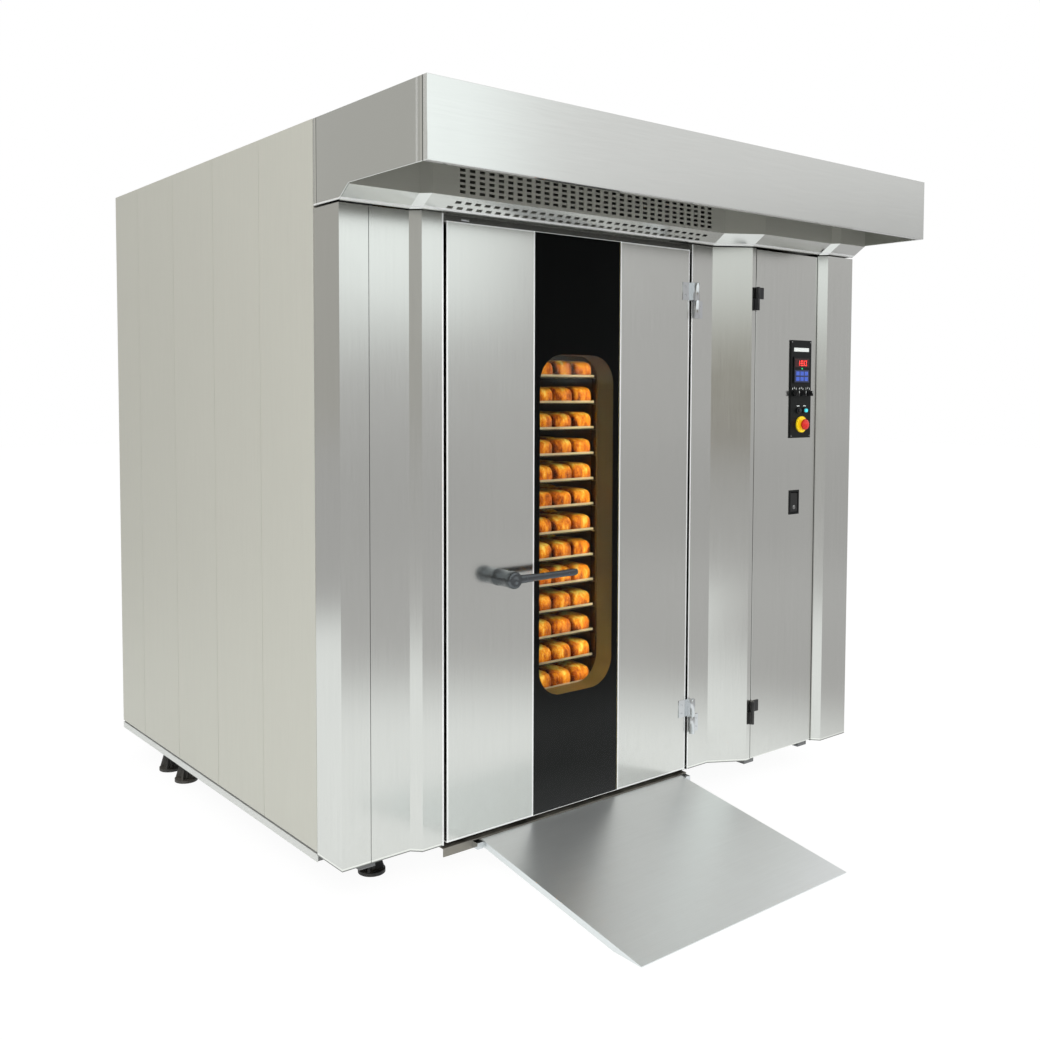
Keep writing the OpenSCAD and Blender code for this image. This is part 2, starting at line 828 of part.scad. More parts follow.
module fan_wheel() {
    y0 = fan_y0 + 24;
    y1 = fan_y0 + fan_case - 24;
    blades = 12;
    color(steel) union() {
        bar_y(0, y1 - 6, y1, fan_z, fan_r);
        bar_y(0, y0 + 60, y1, fan_z, 45);
        bar_y(0, y1 - 1, fan_y0 + fan_case + 78, fan_z, motor_shaft_r);
        for (i = [0 : blades - 1]) {
            translate([0, 0, fan_z]) rotate([0, i * 360 / blades, 0]) {
                block([fan_r - 75, y0, -2], [fan_r - 4, y1 - 5, 2]);
            }
        }
    }
}

module exhaust_duct() {
    x0 = 400;
    x1 = 700;
    y1 = hood_back + 450;
    z1 = deck_top + 130;
    t = 3;
    ring = 100;
    mid = [(x0 + x1) / 2, y1 - 150];
    color(steel) difference() {
        union() {
            block([x0, hood_back, deck_top], [x1, y1, z1]);
            bar_z(mid[0], mid[1], z1 - 1, zt - 5, ring);
        }
        block([x0 + t, hood_back - 1, deck_top + t], [x1 - t, y1 - t, z1 - t]);
        bar_z(mid[0], mid[1], z1 - t - 1, zt, ring - t);
    }
}

module steam_generator() {
    x0 = -660;
    x1 = -360;
    y0 = wool_r;
    z0 = 400;
    shelves = 10;
    color([0.55, 0.5, 0.45]) union() {
        for (x = [x0, x1 - 6]) {
            block([x, y0, z0], [x + 6, y0 + 160, z0 + 1050]);
        }
        for (i = [0 : shelves - 1]) {
            block([x0, y0 + 5, z0 + i * 100 + 20], [x1, y0 + 155, z0 + i * 100 + 32]);
        }
        bar_x(x0 + 1, x1 - 1, y0 + 80, z0 + 1030, 14);
    }
}

// ---- Hood ----

module hood_cheek(x) {
    side_y = x < 0 ? yf : y_last;
    translate([x, 0, 0]) rotate([90, 0, 90]) linear_extrude(hood_t) {
        polygon([[yf - hood_out, hood_z], [side_y - cove_d, hood_z], [side_y, cove_z],
                 [hood_back, cove_z], [hood_back, zt], [yf - hood_out, zt]]);
    }
}
module hood_shell() {
    y0 = yf - hood_out;
    t = hood_t;
    lip = 25;
    color(steel) difference() {
        union() {
            block([xl, y0, hood_z], [xr, y0 + t, zt]);
            block([xl, y0, hood_z], [xr, y0 + lip, hood_z + t]);
            block([xl, y0, zt - t], [xr, hood_back, zt]);
            block([xl + t, hood_back - t, deck_top], [xr - t, hood_back, zt]);
            hood_cheek(xl);
            hood_cheek(xr - t);
        }
        block([403, hood_back - t - 1, deck_top + 3], [697, hood_back + 1, deck_top + 127]);
    }
}

first_slot_x = -(slot_count * slot_pitch) / 2 + 40;
module hood_baffle() {
    line = front_line(cove_d + hood_t, hood_t);
    z0 = hood_z - hood_t;
    color(grey) difference() {
        translate([0, 0, z0]) linear_extrude(zt - hood_t - z0) {
            polygon(strip_outline(line, hood_t));
        }
        for (i = [0 : slot_count - 1], k = [0 : slot_rows - 1]) {
            x = first_slot_x + i * slot_pitch;
            z = hood_z + 8.5 + k * slot_row;
            block([x, y_door - cove_d - hood_t - 1, z],
                  [x + slot_w, y_door - cove_d + 1, z + slot_h]);
        }
    }
}

module hood_cove() {
    high = front_line(cove_d, hood_t);
    low = front_line(0, hood_t);
    n = len(high);
    t = hood_t;
    points = concat([for (p = high) [p[0], p[1], hood_z]], [for (p = low) [p[0], p[1], cove_z]],
                    [for (p = high) [p[0], p[1], hood_z - t]],
                    [for (p = low) [p[0], p[1], cove_z - t]]);
    sides = [for (i = [0 : n - 2], f = [[i + 1, i, n + i, n + i + 1],
                                        [2 * n + i, 2 * n + i + 1, 3 * n + i + 1, 3 * n + i],
                                        [i, i + 1, 2 * n + i + 1, 2 * n + i],
                                        [n + i + 1, n + i, 3 * n + i, 3 * n + i + 1]]) f];
    ends = [[0, 2 * n, 3 * n, n], [n - 1, 2 * n - 1, 4 * n - 1, 3 * n - 1]];
    color(steel) difference() {
        polyhedron(points, concat(sides, ends));
        for (i = [0 : slot_count - 1], k = [0, 1]) {
            x = first_slot_x + (i - 0.5 + k * 0.5) * slot_pitch;
            y = y_door - cove_d * (0.3 + 0.35 * k);
            block([x, y - 5, cove_z - 10], [x + slot_w, y + 5, hood_z + 10]);
        }
    }
}

// ---- Rack, platform and drive ----

// A gear's flank: the points of an involute from the root to the tip, turned to one side
function involute(r_base, r) = let (a = acos(min(1, r_base / r))) tan(a) * 180 / PI - a;
function flank(teeth, m, side) =
    let (pitch = teeth * m / 2, base = pitch * cos(20), root = pitch - 1.25 * m, tip = pitch + 0.9 * m,
         half = 90 / teeth - backlash / 2 / pitch * 180 / PI)
    [for (k = [0 : 3]) let (r = max(base, root) + (tip - max(base, root)) * k / 3,
         a = side * (half + involute(base, pitch) - involute(base, r))) [r, a]];
function tooth(teeth, m, turn) =
    let (root = teeth * m / 2 - 1.25 * m, left = flank(teeth, m, -1), right = flank(teeth, m, 1),
         polar = concat([[root, left[0][1]]], left, backwards(right), [[root, right[0][1]]]))
    [for (p = polar) p[0] * [cos(p[1] + turn), sin(p[1] + turn)]];
module gear_outline(teeth, m, phase) {
    polygon([for (i = [0 : teeth - 1]) each tooth(teeth, m, phase + i * 360 / teeth)]);
}

module drive_shaft() {
    bar_low = rack_top;
    color(steel) union() {
        bar_z(0, 0, bar_low, gear_z + gear_w + 12, shaft_r);
        block([-200, -45, bar_low], [200, 45, bar_low + 30]);
        for (x = [-200, 170], y = [-45, tube_w / 2]) {
            block([x, y, rack_top - tube_w], [x + 30, y + 30, bar_low + 1]);
        }
    }
}

module drive_gear() {
    color(grey) translate([0, 0, gear_z]) difference() {
        linear_extrude(gear_w) gear_outline(gear_teeth, gear_m, 90);
        translate([0, 0, -1]) cylinder(h = gear_w + 2, r = shaft_r + 0.02);
    }
}

pinion_shaft_r = 12;
module drive_pinion() {
    phase = pinion_teeth % 2 == 1 ? 90 : 90 + 180 / pinion_teeth;
    color(steel) translate([0, gear_gap, 0]) union() {
        translate([0, 0, gear_z]) linear_extrude(gear_w) {
            gear_outline(pinion_teeth, gear_m, phase);
        }
        translate([0, 0, gear_z - 40]) cylinder(h = 41, r = pinion_shaft_r);
    }
}

module gearmotor() {
    top = gear_z - 6;
    color([0.2, 0.35, 0.55]) translate([0, gear_gap, 0]) difference() {
        union() {
            block([-60, -40, deck_top], [60, 80, top]);
            bar_y(0, 79, 110, deck_top + 65, 50);
            bar_y(0, 109, 320, deck_top + 65, 60);
            block([-50, 150, deck_top], [50, 280, deck_top + 30]);
        }
        bar_z(0, 0, gear_z - 42, top + 1, pinion_shaft_r + run_fit);
    }
}

module turntable() {
    color(steel) union() {
        bar_z(0, 0, table_z, table_top, table_r);
        bar_z(0, 0, bearing_z + 8 + slide_fit, table_z + 1, hub_r);
    }
}

module rack_frame() {
    w = tube_w;
    bar_x0 = rack_x - w - joint;
    bar_y0 = rack_y - w - joint;
    color(bright) {
        for (sx = [-1, 1], sy = [-1, 1]) {
            x = sx < 0 ? -rack_x : rack_x - w;
            y = sy < 0 ? -rack_y : rack_y - w;
            union() {
                block([x, y, rack_z], [x + w, y + w, rack_top]);
                castor_fork(sx * castor_x, sy * castor_y);
            }
        }
        for (z = [rack_z, rack_top - w]) {
            for (y = [-rack_y, rack_y - w]) {
                block([-bar_x0, y, z], [bar_x0, y + w, z + w]);
            }
            for (x = [-rack_x, rack_x - w]) {
                block([x, -bar_y0, z], [x + w, bar_y0, z + w]);
            }
        }
        block([-bar_x0, -w / 2, rack_top - w], [bar_x0, w / 2, rack_top]);
        tray_rails();
    }
}

module tray_rails() {
    t = 3;
    inner = rack_x - tube_w - joint;
    for (i = [0 : tray_count - 1], s = [-1, 1]) {
        z = first_tray_z + i * tray_pitch - tray_h;
        a = s < 0 ? -inner : inner - rail_w;
        block([a, -rack_y, z - t], [a + rail_w, rack_y, z]);
    }
}

module trays() {
    x = rack_x - tube_w - 4;
    y = rack_y - 10;
    color([0.6, 0.6, 0.6]) for (i = [0 : tray_count - 1]) {
        z = first_tray_z + i * tray_pitch;
        difference() {
            block([-x, -y, z - tray_h], [x, y, z]);
            block([-x + sheet, -y + sheet, z - tray_h + sheet], [x - sheet, y - sheet, z + 1]);
        }
    }
}

// One batch of loaves that touch, a solid on each tray
module loaves() {
    sunk = 12;
    depth = rack_d - 50;
    color([0.85, 0.5, 0.15]) for (i = [0 : tray_count - 1]) {
        z = first_tray_z + i * tray_pitch - tray_h + sheet;
        translate([0, depth / 2, z]) rotate([90, 0, 0]) linear_extrude(depth) intersection() {
            union() for (k = [0 : loaf_count - 1]) {
                translate([(k - (loaf_count - 1) / 2) * loaf_w, -sunk]) circle(r = loaf_h + sunk);
            }
            translate([-loaf_count * loaf_w / 2, 0]) square([loaf_count * loaf_w, loaf_h + 1]);
        }
    }
}

module castor_fork(x, y) {
    leg = 6;
    inner = wheel_w / 2 + 1.5;
    translate([x, y, 0]) union() {
        block([-34, -34, rack_z - 6], [34, 34, rack_z + 1]);
        for (s = [-1, 1]) {
            a = s < 0 ? -inner - leg : inner;
            block([a, -18, wheel_z - 16], [a + leg, 18, rack_z - 5]);
        }
        bar_x(-inner - leg, inner + leg, 0, wheel_z, axle_r);
    }
}
module castor_wheel(x, y) {
    color(dark) translate([x, y, 0]) difference() {
        bar_x(-wheel_w / 2, wheel_w / 2, 0, wheel_z, wheel_r);
        bar_x(-wheel_w / 2 - 1, wheel_w / 2 + 1, 0, wheel_z, axle_r + run_fit);
    }
}
module castor_wheel_1() {
    castor_wheel(-castor_x, -castor_y);
}
module castor_wheel_2() {
    castor_wheel(castor_x, -castor_y);
}
module castor_wheel_3() {
    castor_wheel(-castor_x, castor_y);
}
module castor_wheel_4() {
    castor_wheel(castor_x, castor_y);
}

// ---- Oven door ----

// The door's steel shell: front and edges folded from one sheet, with the inner face set in
module door_skin() {
    t = skin_t;
    gx = glass_w / 2;
    bolt_lo = lever_z - bolt_h / 2 - slide_fit;
    color(steel) difference() {
        block([-door_x, y_door, door_z0], [door_x, door_back, door_z1]);
        block([-door_x + t, y_door + t, door_z0 + t], [door_x - t, door_back - t, door_z1 - t]);
        block([-gx, y_door - 1, door_z0 + t], [gx, y_door + t + 1, door_z1 - t]);
        block([-pane_w / 2, door_back - t - 1, pane_z], [pane_w / 2, door_back + 1, pane_z + pane_h]);
        bar_y(hub_x, y_door - 1, y_door + t + 1, lever_z, spindle_r + run_fit);
        block([-door_x - 1, bolt_y - slide_fit, bolt_lo],
              [-door_x + t + 1, bolt_y + bolt_h + slide_fit, bolt_lo + bolt_h + 2 * slide_fit]);
    }
}

module door_core() {
    t = skin_t;
    gx = glass_w / 2;
    bolt_lo = lever_z - bolt_h / 2 - slide_fit;
    color([0.85, 0.78, 0.5]) difference() {
        block([-door_x + t, y_door + t, door_z0 + t], [door_x - t, door_back - t, door_z1 - t]);
        block([-gx, y_door, door_z0], [gx, pocket_y, door_z1]);
        window_plug(skin_t + set_fit, y_door, door_back + 1);
        block([-pane_w / 2, door_back - pane_t, pane_z],
              [pane_w / 2, door_back + 1, pane_z + pane_h]);
        bar_y(hub_x, y_door, bolt_y + bolt_h + slide_fit, lever_z, spindle_r + run_fit);
        block([-door_x, bolt_y - slide_fit, bolt_lo],
              [hub_x, bolt_y + bolt_h + slide_fit, bolt_lo + bolt_h + 2 * slide_fit]);
    }
}

module door_glass() {
    gx = glass_w / 2 - set_fit;
    z0 = door_z0 + skin_t + set_fit;
    z1 = door_z1 - skin_t - set_fit;
    color([0.3, 0.35, 0.35, 0.4]) {
        block([-gx, y_door, z0], [gx, y_door + glass_t, z1]);
        block([-pane_w / 2 + set_fit, door_back - pane_t, pane_z + set_fit],
              [pane_w / 2 - set_fit, door_back, pane_z + pane_h - set_fit]);
    }
}

module glass_border() {
    gx = glass_w / 2 - set_fit;
    color([0.07, 0.08, 0.08]) difference() {
        block([-gx, y_door + glass_t, door_z0 + skin_t + set_fit],
              [gx, pocket_y, door_z1 - skin_t - set_fit]);
        window_plug(0, y_door, pocket_y + 1);
    }
}

module window_reveal() {
    color([0.5, 0.47, 0.3]) difference() {
        window_plug(skin_t, pocket_y, door_back - pane_t);
        window_plug(0, pocket_y - 1, door_back);
    }
}

module door_gasket() {
    x1 = door_x - 14;
    x0 = x1 - gasket_w;
    z0 = door_z0 + 14;
    z1 = door_z1 - 14;
    color(dark) {
        difference() {
            block([-x1, door_back, z0], [x1, rebate_y - set_fit, z1]);
            block([-x0, door_back - 1, z0 + gasket_w], [x0, rebate_y, z1 - gasket_w]);
        }
        block([-x1, door_back - 45, floor_z + 1], [x1, door_back - 25, door_z0]);
        block([-door_x + 3, door_back - 50, door_z0 - 4], [door_x - 3, door_back - 20, door_z0]);
    }
}

// A hinge half: a barrel on its axis, with a leaf on the panel behind it. The leaf lies on the
// panel up to free from the axis and stands slide_fit clear of what is nearer.
module hinge_half(x, y, z0, z1, r, pin, side, leaf, free, reach) {
    face = y + reach;
    near = face - slide_fit;
    difference() {
        union() {
            bar_z(x, y, z0, z1, r);
            mirror([side < 0 ? 1 : 0, 0, 0]) translate([side < 0 ? -x : x, 0, 0]) {
                block([0, face - 3, z0], [leaf, near, z1]);
                block([free, face - 1, z0], [leaf, face, z1]);
                block([0, y, z0], [r * 1.6, near, z1]);
            }
        }
        if (pin > 0) {
            bar_z(x, y, z0 - 1, z1 + 1, pin);
        }
    }
}
module door_hinge_leaves() {
    color(bright) for (z = [hinge_low, hinge_high]) {
        hinge_half(hinge_ax, hinge_ay, z + hinge_h / 2 + slide_fit, z + hinge_h, hinge_r,
                   hinge_pin_r + run_fit, -1, hinge_x + 40, hinge_x + 1, hinge_y);
    }
}
module door_hinge_pins() {
    color(bright) for (z = [hinge_low, hinge_high]) {
        union() {
            hinge_half(hinge_ax, hinge_ay, z, z + hinge_h / 2, hinge_r, 0, 1, 50, 1, hinge_y);
            bar_z(hinge_ax, hinge_ay, z, z + hinge_h - 4, hinge_pin_r);
        }
    }
}

module door_lever() {
    tip = hub_x + lever_len;
    y0 = y_door - lever_out;
    color(dark) union() {
        bar_y(hub_x, y0, y_door - slide_fit, lever_z, 30);
        bar_y(hub_x, y_door - 1, bolt_y + bolt_h, lever_z, spindle_r);
        block([hub_x, y0 + 4, lever_z - 15], [tip - 15, y0 + 22, lever_z + 15]);
        bar_y(tip - 15, y0 + 4, y0 + 22, lever_z, 15);
    }
}
module latch_bolt() {
    z = lever_z - bolt_h / 2;
    color(steel) block([-door_x + 1, bolt_y, z], [hub_x - spindle_r - 1, bolt_y + bolt_h, z + bolt_h]);
}

// ---- Control side ----

module control_cabinet() {
    t = 4;
    color(grey) {
        block([cab_x0, cab_y0, wall_z], [cab_x0 + t, cab_y1, cab_z1]);
        block([cab_x1 - t, cab_y0, wall_z], [cab_x1, cab_y1, cab_z1]);
        block([cab_x0 + t, cab_y1 - t, wall_z], [cab_x1 - t, cab_y1, cab_z1]);
        block([cab_x0 + t, cab_y0, wall_z], [cab_x1 - t, cab_y1 - t, wall_z + t]);
        block([cab_x0 + t, cab_y0, cab_z1 - t], [cab_x1 - t, cab_y1 - t, cab_z1]);
    }
}
module switchgear() {
    x0 = cab_x0 + 40;
    x1 = cab_x1 - 40;
    y1 = cab_y1 - 4;
    rows = 5;
    per_row = 6;
    step = (x1 - x0 - 20) / per_row;
    color([0.7, 0.72, 0.7]) union() {
        block([x0, y1 - 4, 500], [x1, y1, 2000]);
        for (r = [0 : rows - 1]) {
            z = 620 + r * 270;
            block([x0 + 10, y1 - 14, z + 30], [x1 - 10, y1 - 3, z + 50]);
            for (i = [0 : per_row - 1]) {
                block([x0 + 12 + i * step, y1 - 90, z], [x0 + 6 + (i + 1) * step, y1 - 13, z + 85]);
            }
        }
    }
}

module control_door() {
    t = skin_t;
    z0 = door_z0;
    z1 = facade_z - 5;
    y1 = y_ctrl + ctrl_t;
    color(steel) difference() {
        block([ctrl_x, y_ctrl, z0], [ctrl_end, y1, z1]);
        block([ctrl_x + t, y_ctrl + t, z0 + t], [ctrl_end - t, y1 + 1, z1 - t]);
        block([plate_x0 + 8, y_ctrl - 1, plate_z + 8],
              [plate_x1 - 8, y_ctrl + t + 1, plate_z + plate_h - 8]);
        block([latch_x + 5, y_ctrl - 1, latch_z + 5],
              [latch_x + latch_w - 5, y_ctrl + t + 1, latch_z + latch_h - 5]);
    }
}

// The black control plate with its controller, and the case of the door latch below it
module control_plate() {
    unit_z0 = plate_z + 232;
    unit_z1 = plate_z + 344;
    color(dark) {
        difference() {
            union() {
                block([plate_x0, plate_y, plate_z], [plate_x1, y_ctrl, plate_z + plate_h]);
                block([plate_x0 + 14, plate_y - 4, unit_z0], [plate_x1 - 14, plate_y + 1, unit_z1]);
            }
            for (k = [-1 : 1]) {
                bar_y(stop_x + k * knob_gap - 3, plate_y - 1, y_ctrl + 1, knob_z, stem_r + 0.1);
            }
            for (k = [-1, 1]) {
                bar_y(stop_x + k * 22, plate_y - 1, y_ctrl + 1, button_z, stem_r + 0.1);
            }
            bar_y(stop_x, plate_y - 1, y_ctrl + 1, stop_z, stem_r + 0.1);
        }
        difference() {
            union() {
                block([latch_x, y_ctrl - 3, latch_z], [latch_x + latch_w, y_ctrl, latch_z + latch_h]);
                block([latch_x + 5.5, y_ctrl - 1, latch_z + 5.5],
                      [latch_x + latch_w - 5.5, y_ctrl + 16, latch_z + latch_h - 5.5]);
            }
            block([latch_x + 8, y_ctrl - 4, latch_z + 8],
                  [latch_x + latch_w - 8, y_ctrl + 13, latch_z + latch_h - 8]);
            bar_x(latch_x + 5.9, latch_x + latch_w - 5.9, latch_axis_y, latch_axis_z, 2 + run_fit);
        }
        difference() {
            bar_y(stop_x, plate_y - 6, plate_y, stop_z, 34);
            bar_y(stop_x, plate_y - 7, plate_y + 1, stop_z, stem_r + 0.1);
        }
    }
}

module stop_button() {
    color([0.85, 0.08, 0.06]) union() {
        bar_y(stop_x, plate_y - 32, plate_y - 16, stop_z, stop_r);
        bar_y(stop_x, plate_y - 18, stem_back, stop_z, stem_r);
    }
}
module push_button(x, paint) {
    color(paint) union() {
        bar_y(x, plate_y - 14, plate_y - 5, button_z, button_r);
        bar_y(x, plate_y - 6, stem_back, button_z, stem_r);
    }
}
module start_button() {
    push_button(stop_x - 22, dark);
}
module lamp_button() {
    push_button(stop_x + 22, [0.2, 0.85, 0.9]);
}
module selector(k) {
    x = stop_x + k * knob_gap - 3;
    color(dark) union() {
        bar_y(x, plate_y - 12, plate_y - slide_fit, knob_z, knob_r);
        block([x - 4, plate_y - 26, knob_z - knob_r + 1], [x + 4, plate_y - 11, knob_z + knob_r - 1]);
        bar_y(x, plate_y - 5, stem_back, knob_z, stem_r);
    }
}

module selector_1() {
    selector(-1);
}
module selector_2() {
    selector(0);
}
module selector_3() {
    selector(1);
}

module latch_paddle() {
    x0 = latch_x + 8 + set_fit;
    x1 = latch_x + latch_w - 8 - set_fit;
    color(dark) union() {
        block([x0, y_ctrl - 1.5, latch_z + 10], [x1, y_ctrl + 5, latch_axis_z]);
        bar_x(latch_x + 6.3, latch_x + latch_w - 6.3, latch_axis_y, latch_axis_z, 2);
        bar_x(x0, x1, latch_axis_y, latch_axis_z, 3.2);
    }
}

module control_hinge_leaves() {
    color(dark) for (z = [chinge_low, chinge_high]) {
        hinge_half(chinge_x, chinge_y, z + chinge_h / 2 + slide_fit, z + chinge_h, chinge_r,
                   chinge_pin_r + run_fit, 1, 48, 6, 11);
    }
}
module control_hinge_pins() {
    color(dark) for (z = [chinge_low, chinge_high]) {
        union() {
            hinge_half(chinge_x, chinge_y, z, z + chinge_h / 2, chinge_r, 0, -1, 20, 2, 11);
            bar_z(chinge_x, chinge_y, z, z + chinge_h - 3, chinge_pin_r);
        }
    }
}

// ---- Ramp ----

module ramp_plate() {
    top_front = ramp_t;
    skirt_end = ramp_back - (floor_z - ramp_skirt) / ramp_slope;
    color(bright) difference() {
        union() {
            translate([ramp_x0, 0, 0]) rotate([90, 0, 90]) linear_extrude(ramp_w) {
                polygon([[ramp_back, floor_z], [ramp_front, top_front], [ramp_front, 0],
                         [ramp_back, floor_z - ramp_t]]);
            }
            for (x = [ramp_x0, ramp_shift - ramp_t / 2, ramp_x1 - ramp_t]) {
                translate([x, 0, 0]) rotate([90, 0, 90]) linear_extrude(ramp_t) {
                    polygon([[ramp_back, floor_z], [ramp_front, top_front], [ramp_front, 0],
                             [skirt_end, 0], [ramp_back, floor_z - ramp_skirt]]);
                }
            }
            for (x = [ramp_x0 + 60, ramp_x1 - 110]) {
                bar_x(x, x + 50, rod_y, rod_z, rod_r + 4);
                block([x, rod_y - 8, rod_z], [x + 50, rod_y + 8, floor_z - 4]);
            }
        }
        bar_x(ramp_x0 - 1, ramp_x1 + 1, rod_y, rod_z, rod_r + run_fit);
    }
}

module ramp_rod() {
    side = 5;
    wide = 26;
    color(bright) union() {
        bar_x(ramp_x0 - side - wide, ramp_x1 + side + wide, rod_y, rod_z, rod_r);
        for (x = [ramp_x0 - side - wide, ramp_x1 + side]) {
            block([x, rod_y - 10, rod_z - 10], [x + wide, y_door + skin_t, rod_z + 12]);
        }
    }
}

base_frame();
levelling_feet();
base_rails();
side_wall_panels();
rear_wall_panels();
roof_deck();
front_panels();
door_frame();
hood_shell();
hood_baffle();
hood_cove();
chamber_liner();
chamber_floor();
insulation_slabs();
air_panels();
heat_exchanger();
burner();
fan_housing();
exhaust_duct();
steam_generator();
chamber_lamps();
rack_bearings();
gearmotor();
control_cabinet();
switchgear();
door_hinge_pins();
control_hinge_pins();
ramp_rod();
fan_wheel();
drive_shaft();
drive_gear();
turntable();
rack_frame();
trays();
loaves();
castor_wheel_1();
castor_wheel_2();
castor_wheel_3();
castor_wheel_4();
drive_pinion();
door_skin();
door_core();
door_glass();
glass_border();
window_reveal();
door_gasket();
door_hinge_leaves();
door_lever();
latch_bolt();
control_door();
control_plate();
stop_button();
start_button();
lamp_button();
selector_1();
selector_2();
selector_3();
latch_paddle();
control_hinge_leaves();
ramp_plate();
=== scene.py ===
import json
import math

import bmesh
import bpy
from mathutils import Euler, Matrix, Vector


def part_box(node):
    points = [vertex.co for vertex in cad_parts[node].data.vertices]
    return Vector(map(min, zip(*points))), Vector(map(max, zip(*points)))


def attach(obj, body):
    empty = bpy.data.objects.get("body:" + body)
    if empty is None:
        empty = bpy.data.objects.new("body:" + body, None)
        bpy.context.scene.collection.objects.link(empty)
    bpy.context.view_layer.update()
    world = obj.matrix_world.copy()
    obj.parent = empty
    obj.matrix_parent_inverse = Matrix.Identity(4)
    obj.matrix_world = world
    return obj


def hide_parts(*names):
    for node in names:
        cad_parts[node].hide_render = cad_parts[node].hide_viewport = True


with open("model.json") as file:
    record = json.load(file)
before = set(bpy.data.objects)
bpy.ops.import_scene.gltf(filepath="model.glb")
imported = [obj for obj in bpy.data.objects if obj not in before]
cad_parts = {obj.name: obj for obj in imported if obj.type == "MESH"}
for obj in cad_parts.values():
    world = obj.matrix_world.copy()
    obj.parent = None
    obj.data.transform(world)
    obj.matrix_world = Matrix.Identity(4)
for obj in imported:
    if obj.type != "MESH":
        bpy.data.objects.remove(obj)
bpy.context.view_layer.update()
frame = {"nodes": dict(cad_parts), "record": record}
nodes = frame["nodes"]
record = frame["record"]


# ---- Node helpers ----

def tone(red, green, blue):
    """A colour given as it looks on a screen, 0 to 255, turned into the linear colour of a shader."""
    linear = [((c / 255 + 0.055) / 1.055) ** 2.4 if c > 10 else c / 255 / 12.92 for c in (red, green, blue)]
    return (*linear, 1.0)


def grey(value):
    return (value, value, value, 1.0)


def feed(tree, socket, value):
    """Links another node's output to a socket, or writes a plain value into it."""
    if isinstance(value, bpy.types.NodeSocket):
        tree.links.new(value, socket)
    else:
        socket.default_value = value


def node(tree, kind, inputs=None, **settings):
    made = tree.nodes.new(kind)
    for name, value in settings.items():
        setattr(made, name, value)
    for name, value in (inputs or {}).items():
        feed(tree, made.inputs[name], value)
    return made


def math_node(tree, operation, first, second=0.0, clamp=False):
    made = node(tree, "ShaderNodeMath", {0: first, 1: second}, operation=operation, use_clamp=clamp)
    return made.outputs[0]


def plus(tree, first, second):
    return math_node(tree, "ADD", first, second)


def minus(tree, first, second, clamp=False):
    return math_node(tree, "SUBTRACT", first, second, clamp)


def times(tree, first, second, clamp=False):
    return math_node(tree, "MULTIPLY", first, second, clamp)


def scaled(tree, value, factor, start):
    return plus(tree, times(tree, value, factor), start)


def swing(tree, value, depth):
    """A value that runs round a half, moved to run round 0, with the given depth."""
    return times(tree, minus(tree, value, 0.5), depth)


def near(tree, value, spot, reach):
    """1 where a value lies within reach of a spot, and 0 elsewhere."""
    made = node(tree, "ShaderNodeMath", {0: value, 1: spot, 2: reach}, operation="COMPARE")
    return made.outputs[0]


def spread(tree, value, low, high, to_low=0.0, to_high=1.0, kind="LINEAR"):
    """A value carried from one range to another and held at its ends."""
    ends = {"Value": value, "From Min": low, "From Max": high, "To Min": to_low, "To Max": to_high}
    return node(tree, "ShaderNodeMapRange", ends, interpolation_type=kind).outputs[0]


def noise(tree, where, scale, detail, roughness=0.5, distortion=0.0):
    inputs = {"Vector": where, "Scale": scale, "Detail": detail, "Roughness": roughness,
              "Distortion": distortion}
    return node(tree, "ShaderNodeTexNoise", inputs).outputs[0]


def split(tree, vector):
    return node(tree, "ShaderNodeSeparateXYZ", {0: vector}).outputs


def stretched(tree, where, scale):
    return node(tree, "ShaderNodeMapping", {"Vector": where, "Scale": scale}).outputs[0]


def in_use(sockets, *names):
    """The sockets that a node shows with its present settings, of the given names where there are any."""
    return [s for s in sockets if s.enabled and (not names or s.name in names)]


def mix_colour(tree, share, first, second, blend="MIX"):
    made = node(tree, "ShaderNodeMix", data_type="RGBA", blend_type=blend)
    for name, value in (("Factor", share), ("A", first), ("B", second)):
        feed(tree, in_use(made.inputs, name)[0], value)
    return in_use(made.outputs)[0]


def tinted(tree, colour, tint):
    """A colour made evenly darker or paler by a value close to 1."""
    level = node(tree, "ShaderNodeCombineColor", {0: tint, 1: tint, 2: tint}).outputs[0]
    return mix_colour(tree, 1.0, colour, level, "MULTIPLY")


def ramp(tree, share, stops):
    made = node(tree, "ShaderNodeValToRGB", {"Fac": share})
    points = made.color_ramp.elements
    while len(points) < len(stops):
        points.new(1.0)
    for point, (position, colour) in zip(points, stops):
        point.position = position
        point.color = colour
    return made.outputs["Color"]


def effect(name, inputs, outputs):
    """A shader node group with its input and output sockets; an input given as None is a vector."""
    tree = bpy.data.node_groups.new(name, "ShaderNodeTree")
    for label, value in inputs.items():
        kind = "NodeSocketVector" if value is None else "NodeSocketFloat"
        socket = tree.interface.new_socket(label, in_out="INPUT", socket_type=kind)
        if value is not None:
            socket.default_value = value
    for label in outputs:
        tree.interface.new_socket(label, in_out="OUTPUT", socket_type="NodeSocketFloat")
    return tree, tree.nodes.new("NodeGroupInput").outputs, tree.nodes.new("NodeGroupOutput").inputs


def place(tree, group, **inputs):
    """Puts a shared effect in a material with its own values, and returns what it gives."""
    made = tree.nodes.new("ShaderNodeGroup")
    made.node_tree = group
    for name, value in inputs.items():
        feed(tree, made.inputs[name], value)
    return made.outputs


# ---- Effects that several finishes share ----

